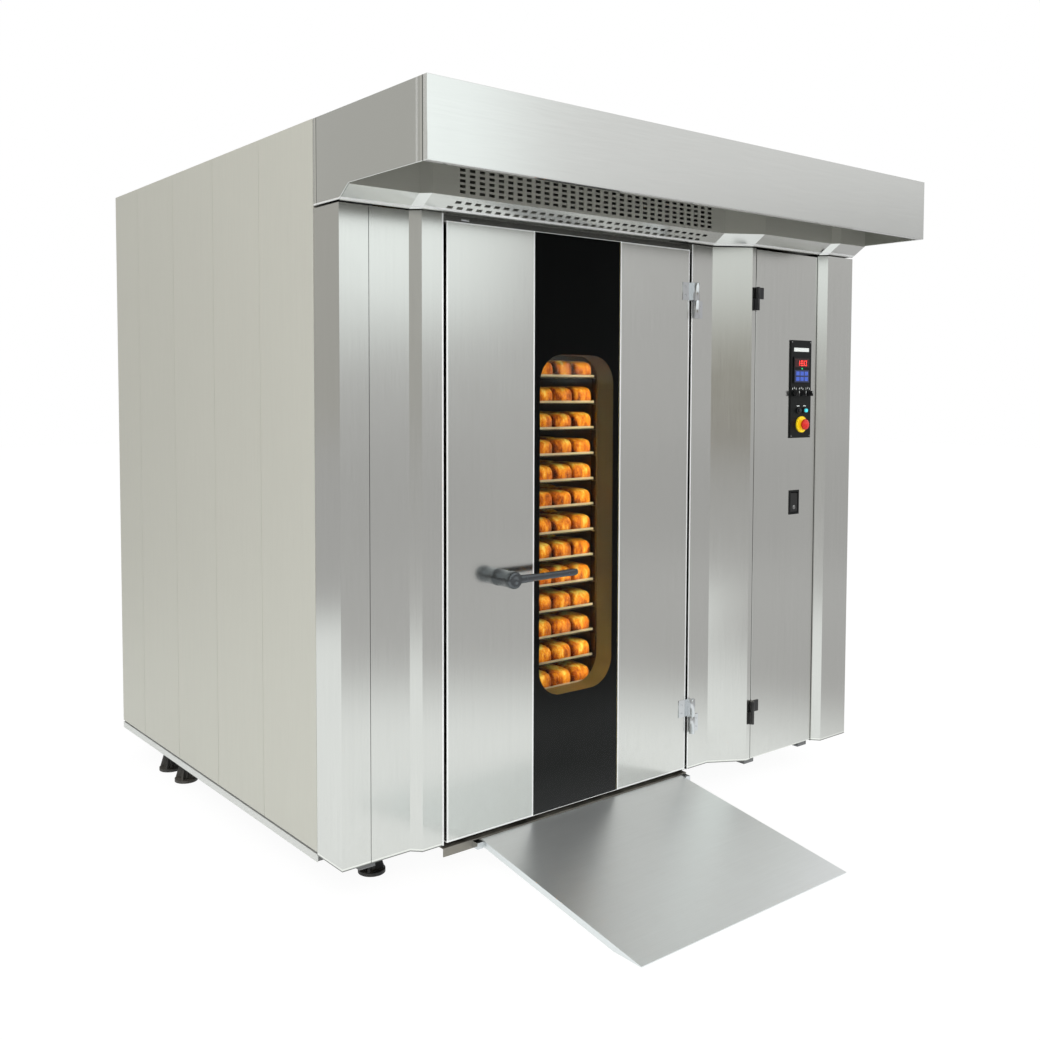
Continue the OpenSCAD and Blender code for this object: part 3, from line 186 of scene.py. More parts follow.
def build_brushing():
    """Fine parallel scratches: a fine line pattern, broader streaks, and both as a height."""
    tree, given, result = effect("brushing", {"Vector": None, "Fineness": 1.0, "Streaks": 0.5},
                                 ["Lines", "Streak", "Height"])
    fine = noise(tree, given["Vector"], given["Fineness"], detail=3.0, roughness=0.6)
    broad = noise(tree, given["Vector"], times(tree, given["Fineness"], 0.11), detail=2.0)
    streak = swing(tree, broad, given["Streaks"])
    feed(tree, result["Lines"], fine)
    feed(tree, result["Streak"], plus(tree, streak, 0.5))
    feed(tree, result["Height"], plus(tree, fine, times(tree, streak, 0.2)))
    return tree


def build_clouding():
    """Soft uneven patches, as wiping and handling leave on sheet metal."""
    tree, given, result = effect("clouding", {"Vector": None, "Size": 1.6, "Depth": 0.1}, ["Tint", "Mask"])
    soft = noise(tree, given["Vector"], given["Size"], detail=4.0, roughness=0.55, distortion=0.4)
    feed(tree, result["Tint"], plus(tree, swing(tree, soft, given["Depth"]), 1.0))
    feed(tree, result["Mask"], spread(tree, soft, 0.52, 0.68))
    return tree


def build_settled_dust():
    """Dust that lies on faces that look up and gathers near the floor."""
    tree, given, result = effect("settled dust", {"Vector": None, "Amount": 0.4}, ["Mask"])
    up = split(tree, node(tree, "ShaderNodeNewGeometry").outputs["Normal"])["Z"]
    low = spread(tree, split(tree, given["Vector"])["Z"], 0.45, 0.0, 0.0, 0.5)
    lying = spread(tree, up, 0.6, 1.0)
    patches = noise(tree, given["Vector"], scale=9.0, detail=5.0, roughness=0.7)
    amount = times(tree, math_node(tree, "MAXIMUM", low, lying), given["Amount"])
    feed(tree, result["Mask"], times(tree, amount, spread(tree, patches, 0.35, 0.75), clamp=True))
    return tree


def build_speckle():
    """The small pits and grains of castings, plastic skins and powder paint."""
    tree, given, result = effect("speckle", {"Vector": None, "Fineness": 300.0}, ["Grain", "Height"])
    cells = node(tree, "ShaderNodeTexVoronoi", {"Vector": given["Vector"], "Scale": given["Fineness"]})
    grain = noise(tree, given["Vector"], given["Fineness"], detail=3.0)
    feed(tree, result["Grain"], grain)
    feed(tree, result["Height"], plus(tree, cells.outputs["Distance"], grain))
    return tree


def build_height_tone():
    """Where a point stands between a low and a high level, from 0 to 1, with a slightly uneven edge."""
    tree, given, result = effect("height tone", {"Vector": None, "Low": 0.0, "High": 2.6, "Waver": 0.05},
                                 ["Level"])
    soft = noise(tree, given["Vector"], scale=1.3, detail=2.0)
    moved = plus(tree, split(tree, given["Vector"])["Z"], swing(tree, soft, given["Waver"]))
    feed(tree, result["Level"], spread(tree, moved, given["Low"], given["High"]))
    return tree


def build_seam():
    """A crease in painted light: a painted shadow line in its groove and a painted highlight beside it."""
    tree, given, result = effect("seam", {"Along": 0.0, "Place": 0.0, "Width": 0.003}, ["Groove", "Lip"])
    away = minus(tree, given["Along"], given["Place"])
    beside = minus(tree, away, times(tree, given["Width"], 3.5))
    feed(tree, result["Groove"], near(tree, away, 0.0, given["Width"]))
    feed(tree, result["Lip"], near(tree, beside, 0.0, times(tree, given["Width"], 1.5)))
    return tree


brushing = build_brushing()
clouding = build_clouding()
settled_dust = build_settled_dust()
speckle = build_speckle()
height_tone = build_height_tone()
seam = build_seam()

# ---- Families of finishes ----

FIRST_RIM, TIER_PITCH, TIERS = 0.337, 0.108, 16
# The rim's foot, and the height band above it where the tray's painted shade turns into its painted highlight.
RIM_FOOT, RIM_HIGHLIGHT_BAND = FIRST_RIM - 0.0145, (0.0035, 0.0075)

ALONG = {"x": (8.0, 900.0, 900.0), "y": (900.0, 8.0, 900.0), "z": (900.0, 900.0, 8.0)}
LINE_DEPTH = 0.03
DUST_COLOUR, BARE_METAL = tone(176, 170, 158), tone(150, 148, 142)
# Painted light for creases and edges: first a painted shadow for grooves, then painted highlights beside
# creases and along edges.
GROOVE_PAINTED_SHADE, FOLD_PAINTED_HIGHLIGHT, LIP_PAINTED_HIGHLIGHT = tone(60, 60, 58), tone(250, 250, 244), tone(250, 252, 252)


def start_finish(name):
    material = bpy.data.materials.new(name)
    material.use_nodes = True
    tree = material.node_tree
    where = node(tree, "ShaderNodeTexCoord").outputs["Object"]
    return material, tree, tree.nodes["Principled BSDF"], where


def into(tree, shader, **sockets):
    for name, value in sockets.items():
        feed(tree, shader.inputs[name.replace("_", " ")], value)


def raised(tree, height, strength, distance):
    made = node(tree, "ShaderNodeBump", {"Height": height, "Strength": strength, "Distance": distance})
    return made.outputs[0]


def brushed(tree, where, along, streaks):
    return place(tree, brushing, Vector=stretched(tree, where, ALONG[along]), Fineness=1.0, Streaks=streaks)


def painted_light_by_height(tree, where, painted_light_levels, waver):
    """Painted light and shade by height; levels are (height in metres, colour) pairs from low to high."""
    low, high = painted_light_levels[0][0], painted_light_levels[-1][0]
    level = place(tree, height_tone, Vector=where, Low=low, High=high, Waver=waver)["Level"]
    return ramp(tree, level, [((height - low) / (high - low), shade) for height, shade in painted_light_levels])


def steel(name, colour, along="z", roughness=0.17, cloud=0.05, streaks=0.5, dust=0.2, metal=1.0, painted_light_levels=None,
          seams=(), edge_highlights=()):
    """Brushed sheet; where levels are given, its colour by height is painted light and shade.

    seams are (axis, place in metres, half width) of creases, each a painted shadow line with a painted
    highlight beside it, and lips (axis, place, half width, strength) of bright folded edges, which are painted
    highlights."""
    material, tree, shader, where = start_finish(name)
    brush = brushed(tree, where, along, streaks)
    patch = place(tree, clouding, Vector=where, Size=1.4, Depth=cloud)
    # The colour by height, where given, is painted light and shade.
    base = painted_light_by_height(tree, where, painted_light_levels, 0.06) if painted_light_levels else colour
    lines = spread(tree, brush["Lines"], 0.3, 0.7, 1.0 - LINE_DEPTH, 1.0 + LINE_DEPTH)
    shade = times(tree, lines, scaled(tree, brush["Streak"], 0.07, 0.965))
    toned = tinted(tree, base, times(tree, shade, patch["Tint"]))
    # Each crease gets a painted shadow line in its groove and a painted highlight beside it.
    for axis, spot, width in seams:
        seam_shading = place(tree, seam, Along=split(tree, where)[axis], Place=spot, Width=width)
        toned = mix_colour(tree, times(tree, seam_shading["Groove"], 0.75), toned, GROOVE_PAINTED_SHADE)
        toned = mix_colour(tree, times(tree, seam_shading["Lip"], 0.6), toned, FOLD_PAINTED_HIGHLIGHT)
    dusty = place(tree, settled_dust, Vector=where, Amount=dust)["Mask"]
    metal_after_dust_and_highlights = minus(tree, 1.0, dusty, clamp=True)
    # Painted highlights along edges: near white there, and less metallic.
    for axis, spot, width, strength in edge_highlights:
        lip_highlight = near(tree, split(tree, where)[axis], spot, width)
        toned = mix_colour(tree, times(tree, lip_highlight, strength), toned, LIP_PAINTED_HIGHLIGHT)
        metal_after_dust_and_highlights = minus(tree, metal_after_dust_and_highlights, times(tree, lip_highlight, strength * 0.8), clamp=True)
    rough = scaled(tree, brush["Lines"], 0.08, roughness - 0.04)
    into(tree, shader, Base_Color=mix_colour(tree, dusty, toned, DUST_COLOUR),
         Metallic=times(tree, metal_after_dust_and_highlights, metal), Roughness=plus(tree, rough, times(tree, patch["Mask"], 0.03)),
         Normal=raised(tree, brush["Height"], 0.07, 0.0002))
    return material


def coated(name, colour, roughness, fineness, grain, bump, patches, dust=0.0, worn=0.0, metal=0.0, level=0.5,
           glow=0.0):
    """A grainy skin with soft patches, which wears, gathers dust or glows where that is given.

    bump is its (strength, distance), and patches their (size, depth)."""
    material, tree, shader, where = start_finish(name)
    skin = place(tree, speckle, Vector=where, Fineness=fineness)
    patch = place(tree, clouding, Vector=where, Size=patches[0], Depth=patches[1])
    toned = tinted(tree, colour, patch["Tint"])
    if worn:
        toned = mix_colour(tree, times(tree, patch["Mask"], worn), toned, BARE_METAL)
    if dust:
        dusty = place(tree, settled_dust, Vector=where, Amount=dust)["Mask"]
        toned = mix_colour(tree, dusty, toned, DUST_COLOUR)
    into(tree, shader, Base_Color=toned, Metallic=metal, Specular_IOR_Level=level,
         Roughness=scaled(tree, skin["Grain"], grain, roughness - grain / 2),
         Normal=raised(tree, skin["Height"], *bump))
    if glow:
        into(tree, shader, Emission_Color=toned, Emission_Strength=glow)
    return material


def painted(name, colour, roughness=0.42, worn=0.0):
    return coated(name, colour, roughness, fineness=500.0, grain=0.16, bump=(0.12, 0.0006),
                  patches=(3.0, 0.16), dust=0.4, worn=worn)


def cast(name, colour, roughness=0.6, metal=0.0):
    return coated(name, colour, roughness, fineness=190.0, grain=0.2, bump=(0.35, 0.0012),
                  patches=(14.0, 0.35), dust=0.5, metal=metal)


def plastic(name, colour, roughness=0.35, glow=0.0, level=0.5):
    return coated(name, colour, roughness, fineness=900.0, grain=0.1, bump=(0.08, 0.0003),
                  patches=(20.0, 0.08), level=level, glow=glow)


def black_print_painted_sheen(name, painted_light_levels):
    """Black print behind the door's glass with a glowing painted floor reflection, stronger low; levels are
    (height, tone).
    """
    material, tree, shader, where = start_finish(name)
    skin = place(tree, speckle, Vector=where, Fineness=900.0)
    # The sheen is a painted reflection of the floor, and it glows.
    painted_sheen = painted_light_by_height(tree, where, [(height, tone(value, value, value)) for height, value in painted_light_levels], 0.10)
    into(tree, shader, Base_Color=painted_sheen, Emission_Color=painted_sheen, Emission_Strength=0.9,
         Roughness=scaled(tree, skin["Grain"], 0.1, 0.4), Normal=raised(tree, skin["Height"], 0.08, 0.0003))
    return material


def polished(name, colour, roughness=0.12):
    material, tree, shader, where = start_finish(name)
    patch = place(tree, clouding, Vector=where, Size=30.0, Depth=0.12)
    into(tree, shader, Base_Color=tinted(tree, colour, patch["Tint"]), Metallic=1.0,
         Roughness=scaled(tree, patch["Mask"], 0.10, roughness))
    return material


def glass(name, colour):
    material, tree, shader, where = start_finish(name)
    patch = place(tree, clouding, Vector=where, Size=6.0, Depth=0.1)
    into(tree, shader, Base_Color=tinted(tree, colour, patch["Tint"]), Transmission_Weight=1.0, Metallic=0.0,
         IOR=1.11, Roughness=scaled(tree, patch["Mask"], 0.01, 0.02))
    return material


def wool(name):
    material, tree, shader, where = start_finish(name)
    fibres = noise(tree, stretched(tree, where, (1.0, 1.0, 3.5)), scale=55.0, detail=8.0, roughness=0.8,
                   distortion=2.5)
    straw = [(0.25, tone(150, 120, 62)), (0.55, tone(205, 180, 112)), (0.8, tone(232, 216, 160))]
    into(tree, shader, Base_Color=ramp(tree, fibres, straw), Roughness=0.95, Sheen_Weight=0.3,
         Normal=raised(tree, fibres, 0.7, 0.006))
    return material


def tray_rim_painted_light(name):
    """A tray's rim with painted light: a painted highlight along its top over painted shade below, tier by
    tier.
    """
    material, tree, shader, where = start_finish(name)
    brush = brushed(tree, where, "x", 0.4)
    patch = place(tree, clouding, Vector=where, Size=9.0, Depth=0.3)
    over = minus(tree, split(tree, where)["Z"], RIM_FOOT)
    within = math_node(tree, "FLOORED_MODULO", over, TIER_PITCH)
    # Navy below is painted shade under the rim, and the pale band above it a painted highlight.
    toned = mix_colour(tree, spread(tree, within, *RIM_HIGHLIGHT_BAND), tone(26, 28, 40), tone(206, 198, 190))
    into(tree, shader, Base_Color=tinted(tree, toned, patch["Tint"]), Metallic=0.45,
         Roughness=scaled(tree, brush["Lines"], 0.1, 0.33), Normal=raised(tree, brush["Height"], 0.07, 0.0002))
    return material


def crust(name):
    """Baked dough: browning plus painted light, gold on top and mid-loaf, dark red brown painted shade where
    loaves meet.
    """
    material, tree, shader, where = start_finish(name)
    browning_and_painted_light = node(tree, "ShaderNodeAttribute", attribute_name="browning_and_painted_light").outputs["Fac"]
    spots = noise(tree, stretched(tree, where, (1.0, 1.0, 0.5)), scale=30.0, detail=5.0, roughness=0.65)
    blister = noise(tree, where, scale=160.0, detail=3.0)
    # The darkest stops are painted shade where loaves meet, the palest a painted highlight.
    colour = ramp(tree, math_node(tree, "ADD", browning_and_painted_light, swing(tree, spots, 1.9), clamp=True),
                  [(0.0, tone(38, 12, 4)), (0.20, tone(110, 42, 8)), (0.45, tone(186, 92, 16)),
                   (0.72, tone(238, 154, 34)), (1.0, tone(255, 234, 126))])
    into(tree, shader, Base_Color=colour, Roughness=scaled(tree, spots, 0.3, 0.25), Specular_IOR_Level=0.25,
         Normal=raised(tree, plus(tree, blister, spots), 0.5, 0.003))
    return material


SHEET, BRIGHT_SHEET, WALL = tone(216, 216, 212), tone(224, 225, 222), tone(214, 214, 204)
# Crease marks as (axis, place, half width): painted shadow lines with painted highlights beside them, at the
# front's foot, in the recess over the door and on the hood.
FOOT_PAINTED_SEAM = ("Z", 0.1415, 0.0016)
FRAME_PAINTED_SEAM = ("Z", 2.2430, 0.0125)
# Edge marks as (axis, place, half width, strength): painted highlights along the edges of the front, the hood
# and the door.
FRONT_EDGE_HIGHLIGHTS = [("X", -0.6045, 0.0030, 0.8), ("X", 0.6050, 0.0030, 0.8)]
HOOD_PAINTED_SEAMS = [("Y", -1.272, 0.0022), ("Y", -0.668, 0.0018)]
HOOD_EDGE_HIGHLIGHTS = [("Z", 2.2660, 0.0030, 0.8), ("Y", -1.2840, 0.0080, 0.3), ("Y", -1.2430, 0.0050, 0.3)]
DOOR_EDGE_HIGHLIGHTS = [("X", -0.5860, 0.0034, 0.8), ("X", 0.5865, 0.0028, 0.8), ("X", -0.2118, 0.0032, 0.8),
             ("X", 0.2118, 0.0032, 0.8), ("Z", 0.1480, 0.0030, 0.8), ("Z", 2.2300, 0.0025, 0.8)]
# Tones by height of the painted floor reflection on the print behind the door's glass.
BORDER_PAINTED_SHEEN = [(0.15, 52), (0.30, 40), (0.45, 41), (0.60, 28), (0.75, 18), (1.50, 14), (1.90, 11), (2.23, 6)]
# The window reveal's colour by height is painted light and shade: warm and pale low down, near black under the
# window's head.
REVEAL_PAINTED_LIGHT_AND_SHADE = [(0.55, tone(178, 150, 86)), (0.72, tone(140, 124, 84)), (1.0, tone(112, 105, 82)),
                 (1.74, tone(108, 103, 82)), (1.80, tone(40, 36, 30))]
finish = {
    "frame_steel": painted("frame paint", tone(112, 114, 116)),
    "black_cast": cast("black cast feet", tone(26, 26, 28)),
    "rail_steel": steel("rail steel", BRIGHT_SHEET, "y", metal=0.5, roughness=0.4),
    "wall_steel": steel("wall steel", WALL, roughness=0.55, metal=0.3, cloud=0.03, streaks=0.3, dust=0.05),
    "roof_steel": steel("roof steel", tone(150, 150, 148), "x", roughness=0.4, dust=0.8),
    "front_steel": steel("front steel", SHEET, seams=[FOOT_PAINTED_SEAM], edge_highlights=FRONT_EDGE_HIGHLIGHTS),
    "hood_steel": steel("hood steel", BRIGHT_SHEET, "x", dust=0.0, seams=HOOD_PAINTED_SEAMS, edge_highlights=HOOD_EDGE_HIGHLIGHTS),
    "baffle_steel": steel("baffle steel", tone(188, 188, 180), "x", roughness=0.35, dust=0.0, metal=0.55),
    "liner_steel": steel("liner steel", tone(160, 150, 130), roughness=0.35),
    "mineral_wool": wool("mineral wool"),
    "hot_steel": cast("scaled steel", tone(112, 92, 78), roughness=0.55, metal=0.7),
    "burner_paint": painted("burner red", tone(176, 38, 26), roughness=0.4, worn=0.3),
    "fan_paint": painted("fan blue", tone(46, 78, 116), roughness=0.4, worn=0.25),
    "steam_iron": cast("steam iron", tone(92, 80, 70), roughness=0.7, metal=0.4),
    "lamp_glass": plastic("lamp cover", tone(255, 236, 190), roughness=0.3, glow=1.2),
    "bearing_steel": painted("bearing paint", tone(54, 70, 92), worn=0.4),
    "drive_paint": painted("drive blue", tone(46, 78, 116), worn=0.2),
    "cabinet_steel": painted("cabinet grey", tone(172, 174, 174)),
    "switch_plastic": plastic("switchgear grey", tone(186, 190, 188), roughness=0.5),
    "hinge_chrome": polished("bright hinges", tone(214, 216, 218)),
    "hinge_black": painted("black hinges", tone(22, 22, 24), roughness=0.35),
    "machined_steel": steel("machined steel", tone(168, 168, 168), "x", roughness=0.25),
    "platform_steel": steel("platform steel", tone(140, 136, 128), "x", roughness=0.42, dust=0.5),
    "rack_metal": steel("rack tube", tone(112, 98, 74), roughness=0.35, dust=0.0),
    "tray_metal": tray_rim_painted_light("tray sheet"),
    "bread_crust": crust("baked crust"),
    "castor_rubber": plastic("castor tread", tone(34, 32, 30), roughness=0.7),
    "door_steel": steel("door steel", SHEET, cloud=0.03, edge_highlights=DOOR_EDGE_HIGHLIGHTS),
    "door_glass": glass("window glass", tone(232, 238, 236)),
    "border_black": black_print_painted_sheen("black glass border", BORDER_PAINTED_SHEEN),
    "reveal_steel": steel("reveal steel", None, roughness=0.45, dust=0.0, metal=0.6, painted_light_levels=REVEAL_PAINTED_LIGHT_AND_SHADE),
    "seal_rubber": plastic("silicone seal", tone(28, 28, 28), roughness=0.6),
    "lever_steel": polished("lever steel", tone(96, 99, 102), roughness=0.2),
    "ctrl_steel": steel("control door steel", SHEET, cloud=0.03, seams=[FOOT_PAINTED_SEAM]),
    "control_black": plastic("black control plate", tone(9, 11, 11), roughness=0.4, level=0.25),
    "stop_red": plastic("stop red", tone(214, 34, 26), roughness=0.25),
    "button_black": plastic("push button", tone(24, 24, 28), roughness=0.3),
    "button_cyan": plastic("lit button", tone(70, 206, 220), roughness=0.3, glow=0.5),
    "knob_black": plastic("selector knob", tone(16, 16, 18), roughness=0.35),
    "latch_black": plastic("latch black", tone(20, 20, 20), roughness=0.4),
    "ramp_steel": steel("ramp steel", tone(233, 236, 236), "x", roughness=0.36, dust=0.05, metal=0.85),
}

slot_of = {part["node"]: part["material_slot"] for part in record["subparts"]}
# The door frame's crease mark paints a band of shade into the recess over the door, with a painted highlight
# above it.
frame_steel = steel("door frame steel", SHEET, seams=[FRAME_PAINTED_SEAM])
for name, cad in nodes.items():
    wanted = frame_steel if name == "door_frame" else finish[slot_of[name]]
    if not cad.material_slots:
        cad.data.materials.append(wanted)
    for held in cad.material_slots:
        held.material = wanted


# ---- Mesh helpers ----

def add_object(name, data):
    made = bpy.data.objects.new(name, data)
    bpy.context.scene.collection.objects.link(made)
    return made


AXES = {"x": Euler((0, math.radians(90), 0)), "y": Euler((math.radians(-90), 0, 0)), "z": Euler((0, 0, 0))}


def add_box(bm, low, high, bevel=0.0, index=0, segments=2):
    """A block between two corners, its edges broken where a bevel is given; returns its points."""
    low, high = Vector(low), Vector(high)
    before = set(bm.faces)
    made = bmesh.ops.create_cube(bm, size=1.0, matrix=Matrix.Translation((low + high) / 2)
                                 @ Matrix.Diagonal((*(high - low), 1.0)))
    if bevel:
        edges = {e for v in made["verts"] for e in v.link_edges}
        bmesh.ops.bevel(bm, geom=list(edges), offset=bevel, segments=segments, affect="EDGES", profile=0.5,
                        clamp_overlap=True)
    fresh = [f for f in bm.faces if f not in before]
    for face in fresh:
        face.material_index = index
    return list({v for face in fresh for v in face.verts})


def turn_and_move(bm, verts, turn, spot):
    bmesh.ops.rotate(bm, verts=verts, cent=(0, 0, 0), matrix=turn)
    bmesh.ops.translate(bm, verts=verts, vec=spot)


def join_rings(bm, lower, upper):
    """Faces from one ring of points to the next; a ring of one point is a pole."""
    count = max(len(lower), len(upper))
    for k in range(count):
        m = (k + 1) % count
        if len(lower) == 1:
            bm.faces.new((lower[0], upper[m], upper[k]))
        elif len(upper) == 1:
            bm.faces.new((lower[k], lower[m], upper[0]))
        else:
            bm.faces.new((lower[k], lower[m], upper[m], upper[k]))


def add_lathe(bm, centre, axis, profile, segments=32, ring=False):
    """A solid of revolution; profile is (distance along the axis, radius) pairs from one pole to the other.

    A ring's profile goes all the way round its section instead, and leaves its middle open."""
    turn, centre = AXES[axis].to_matrix(), Vector(centre)
    rings = []
    for along, radius in profile:
        count = segments if radius else 1
        angles = [2 * math.pi * k / count for k in range(count)]
        points = [Vector((radius * math.cos(a), radius * math.sin(a), along)) for a in angles]
        rings.append([bm.verts.new(centre + turn @ point) for point in points])
    for end in () if ring else (rings[0][::-1], rings[-1]):
        if len(end) > 1:
            bm.faces.new(end)
    for lower, upper in zip(rings, rings[1:] + (rings[:1] if ring else [])):
        join_rings(bm, lower, upper)


def add_turned(bm, x, face, z, profile, segments, ring=False):
    """A turned piece on an upright face; profile is (distance out from the face, radius) pairs."""
    add_lathe(bm, (x, face, z), "y", [(-out, radius) for out, radius in profile], segments, ring)


def finish_mesh(bm, name, materials, smooth=35.0, merge=True):
    if merge:
        bmesh.ops.remove_doubles(bm, verts=bm.verts, dist=1e-6)
    bmesh.ops.recalc_face_normals(bm, faces=bm.faces)
    for face in bm.faces:
        face.smooth = True
    mesh = bpy.data.meshes.new(name)
    bm.to_mesh(mesh)
    bm.free()
    mesh.set_sharp_from_angle(angle=math.radians(smooth))
    for material in materials:
        mesh.materials.append(material)
    return add_object(name, mesh)


def settle(piece, body, slot, *replaced):
    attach(piece, body)
    if replaced:
        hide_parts(*replaced)
    return piece


def make_piece(bm, name, materials, body, slot, *replaced, smooth=35.0):
    return settle(finish_mesh(bm, name, materials, smooth), body, slot, *replaced)


FLAT_AREA, SHARP_BEND, FLAT_BEND = 4e-4, math.radians(30), math.radians(0.8)


def dressed(part, body, width):
    """The CAD part's own shape with its edges broken, in place of the part; its flat faces stay flat."""
    bm = bmesh.new()
    bm.from_mesh(nodes[part].data)
    bmesh.ops.remove_doubles(bm, verts=bm.verts, dist=1e-5)
    bmesh.ops.dissolve_limit(bm, angle_limit=FLAT_BEND, verts=bm.verts, edges=bm.edges)
    sharp = [e for e in bm.edges if e.is_manifold and e.calc_face_angle() > SHARP_BEND]
    broken = bmesh.ops.bevel(bm, geom=sharp, offset=width, segments=2, affect="EDGES", profile=0.5,
                             clamp_overlap=True)
    rounded = set(broken["faces"])
    bm.faces.index_update()
    flat = {f.index for f in bm.faces if f not in rounded and f.calc_area() > FLAT_AREA}
    piece = finish_mesh(bm, "dressed_" + part, [finish[slot_of[part]]], merge=False)
    for polygon in piece.data.polygons:
        polygon.use_smooth = polygon.index not in flat
    return settle(piece, body, slot_of[part], part)


# ---- Geometry Nodes: copies of one piece at marked points ----

COPY_INPUTS = {"Geometry": "Geometry", "Piece": "Object", "Finish": "Material", "Size": "Float",
               "Size Spread": "Float", "Turn Spread": "Float", "Seed": "Int"}


def random_value(tree, seed, low, high):
    """A value of its own for each point, between two ends."""
    made = node(tree, "FunctionNodeRandomValue", {"Seed": seed}, data_type="FLOAT")
    for socket, end in zip(in_use(made.inputs, "Min", "Max"), (low, high)):
        feed(tree, socket, end)
    return in_use(made.outputs)[0]


def build_copies_tree():
    tree = bpy.data.node_groups.new("copies at points", "GeometryNodeTree")
    for label, kind in COPY_INPUTS.items():
        tree.interface.new_socket(label, in_out="INPUT", socket_type="NodeSocket" + kind)
    tree.interface.new_socket("Geometry", in_out="OUTPUT", socket_type="NodeSocketGeometry")
    given = tree.nodes.new("NodeGroupInput").outputs
    template = node(tree, "GeometryNodeObjectInfo", {"Object": given["Piece"], "As Instance": True},
                    transform_space="ORIGINAL").outputs["Geometry"]
    turn, stretch = [node(tree, "GeometryNodeInputNamedAttribute", {"Name": label},
                          data_type="FLOAT_VECTOR").outputs["Attribute"] for label in ("turn", "stretch")]
    size_spread = given["Size Spread"]
    factor = random_value(tree, given["Seed"], minus(tree, 1.0, size_spread), plus(tree, 1.0, size_spread))
    scale = node(tree, "ShaderNodeVectorMath", {0: stretch}, operation="SCALE")
    feed(tree, scale.inputs["Scale"], times(tree, factor, given["Size"]))
    wobble = times(tree, random_value(tree, given["Seed"], -1.0, 1.0), given["Turn Spread"])
    about = node(tree, "ShaderNodeCombineXYZ", {"Z": wobble}).outputs[0]
    turned = node(tree, "ShaderNodeVectorMath", {0: turn, 1: about}, operation="ADD").outputs[0]
    shape = node(tree, "GeometryNodeInstanceOnPoints", {"Points": given["Geometry"], "Instance": template,
                 "Rotation": turned, "Scale": scale.outputs[0]}).outputs[0]
    shape = node(tree, "GeometryNodeRealizeInstances", {"Geometry": shape}).outputs[0]
    shape = node(tree, "GeometryNodeSetMaterial", {"Geometry": shape, "Material": given["Finish"]}).outputs[0]
    feed(tree, tree.nodes.new("NodeGroupOutput").inputs["Geometry"], shape)
    return tree


copies_tree = build_copies_tree()


def copies(name, template, material, points, size=1.0, size_spread=0.0, turn_spread=0.0, seed=3):
    """points holds (place, turn as Euler angles, stretch); the template object is deleted afterwards."""
    mesh = bpy.data.meshes.new(name + "_points")
    mesh.from_pydata([p[0] for p in points], [], [])
    for label, column in (("turn", 1), ("stretch", 2)):
        layer = mesh.attributes.new(label, "FLOAT_VECTOR", "POINT")
        layer.data.foreach_set("vector", [c for p in points for c in p[column]])
    holder = add_object(name + "_points", mesh)
    maker = holder.modifiers.new("copies", "NODES")
    maker.node_group = copies_tree
    values = {"Piece": template, "Finish": material, "Size": size, "Size Spread": size_spread,
              "Turn Spread": turn_spread, "Seed": seed}
    for item in copies_tree.interface.items_tree:
        if item.item_type == "SOCKET" and item.in_out == "INPUT" and item.name in values:
            maker[item.identifier] = values[item.name]
    bpy.context.view_layer.update()
    made = holder.evaluated_get(bpy.context.evaluated_depsgraph_get())
    result = bpy.data.meshes.new_from_object(made)
    result.name = name
    bpy.data.objects.remove(holder)
    bpy.data.objects.remove(template)
    return add_object(name, result)


# ---- Camera ----

CAMERA_PLACE = Vector((-2.678, -3.793, 1.672))
CAMERA_YAW, CAMERA_PITCH, CAMERA_ROLL = math.radians(38.40), math.radians(2.87), math.radians(-0.12)
SENSOR, LENS, SHIFT = 36.0, 37.70, (0.01346, -0.0714)


def make_camera():
    sy, cy = math.sin(CAMERA_YAW), math.cos(CAMERA_YAW)
    sp, cp = math.sin(CAMERA_PITCH), math.cos(CAMERA_PITCH)
    cr, sr = math.cos(CAMERA_ROLL), math.sin(CAMERA_ROLL)
    ahead = Vector((sy * cp, cy * cp, -sp))
    right = Vector((cy, -sy, 0.0))
    down = ahead.cross(right)
    right, down = cr * right + sr * down, cr * down - sr * right
    data = bpy.data.cameras.new("camera")
    data.sensor_width, data.lens = SENSOR, LENS
    data.shift_x, data.shift_y = SHIFT
    data.clip_start, data.clip_end = 0.05, 100.0
    camera = add_object("camera", data)
    turn = Matrix((right, -down, -ahead)).transposed()
    camera.matrix_world = Matrix.Translation(CAMERA_PLACE) @ turn.to_4x4()
    bpy.context.scene.camera = camera


make_camera()

# ---- Loaves ----

LOAF_COLUMNS, LOAF_ROWS = 9, 4
LOAF_LEFT, LOAF_FRONT, LOAF_FOOT = -0.4835, -0.3965, FIRST_RIM - 0.0125
LOAF_HEIGHT, LOAF_RISE = 0.0700, 0.005
LOAF_SHAPE = ((0.485, 0.0), (0.50, 0.30), (0.495, 0.62), (0.45, 0.84), (0.34, 0.96))


def squared(angle, power):
    """A point on a circle of radius 1, pushed towards a square as the power falls."""
    return [math.copysign(abs(share) ** power, share) for share in (math.cos(angle), math.sin(angle))]


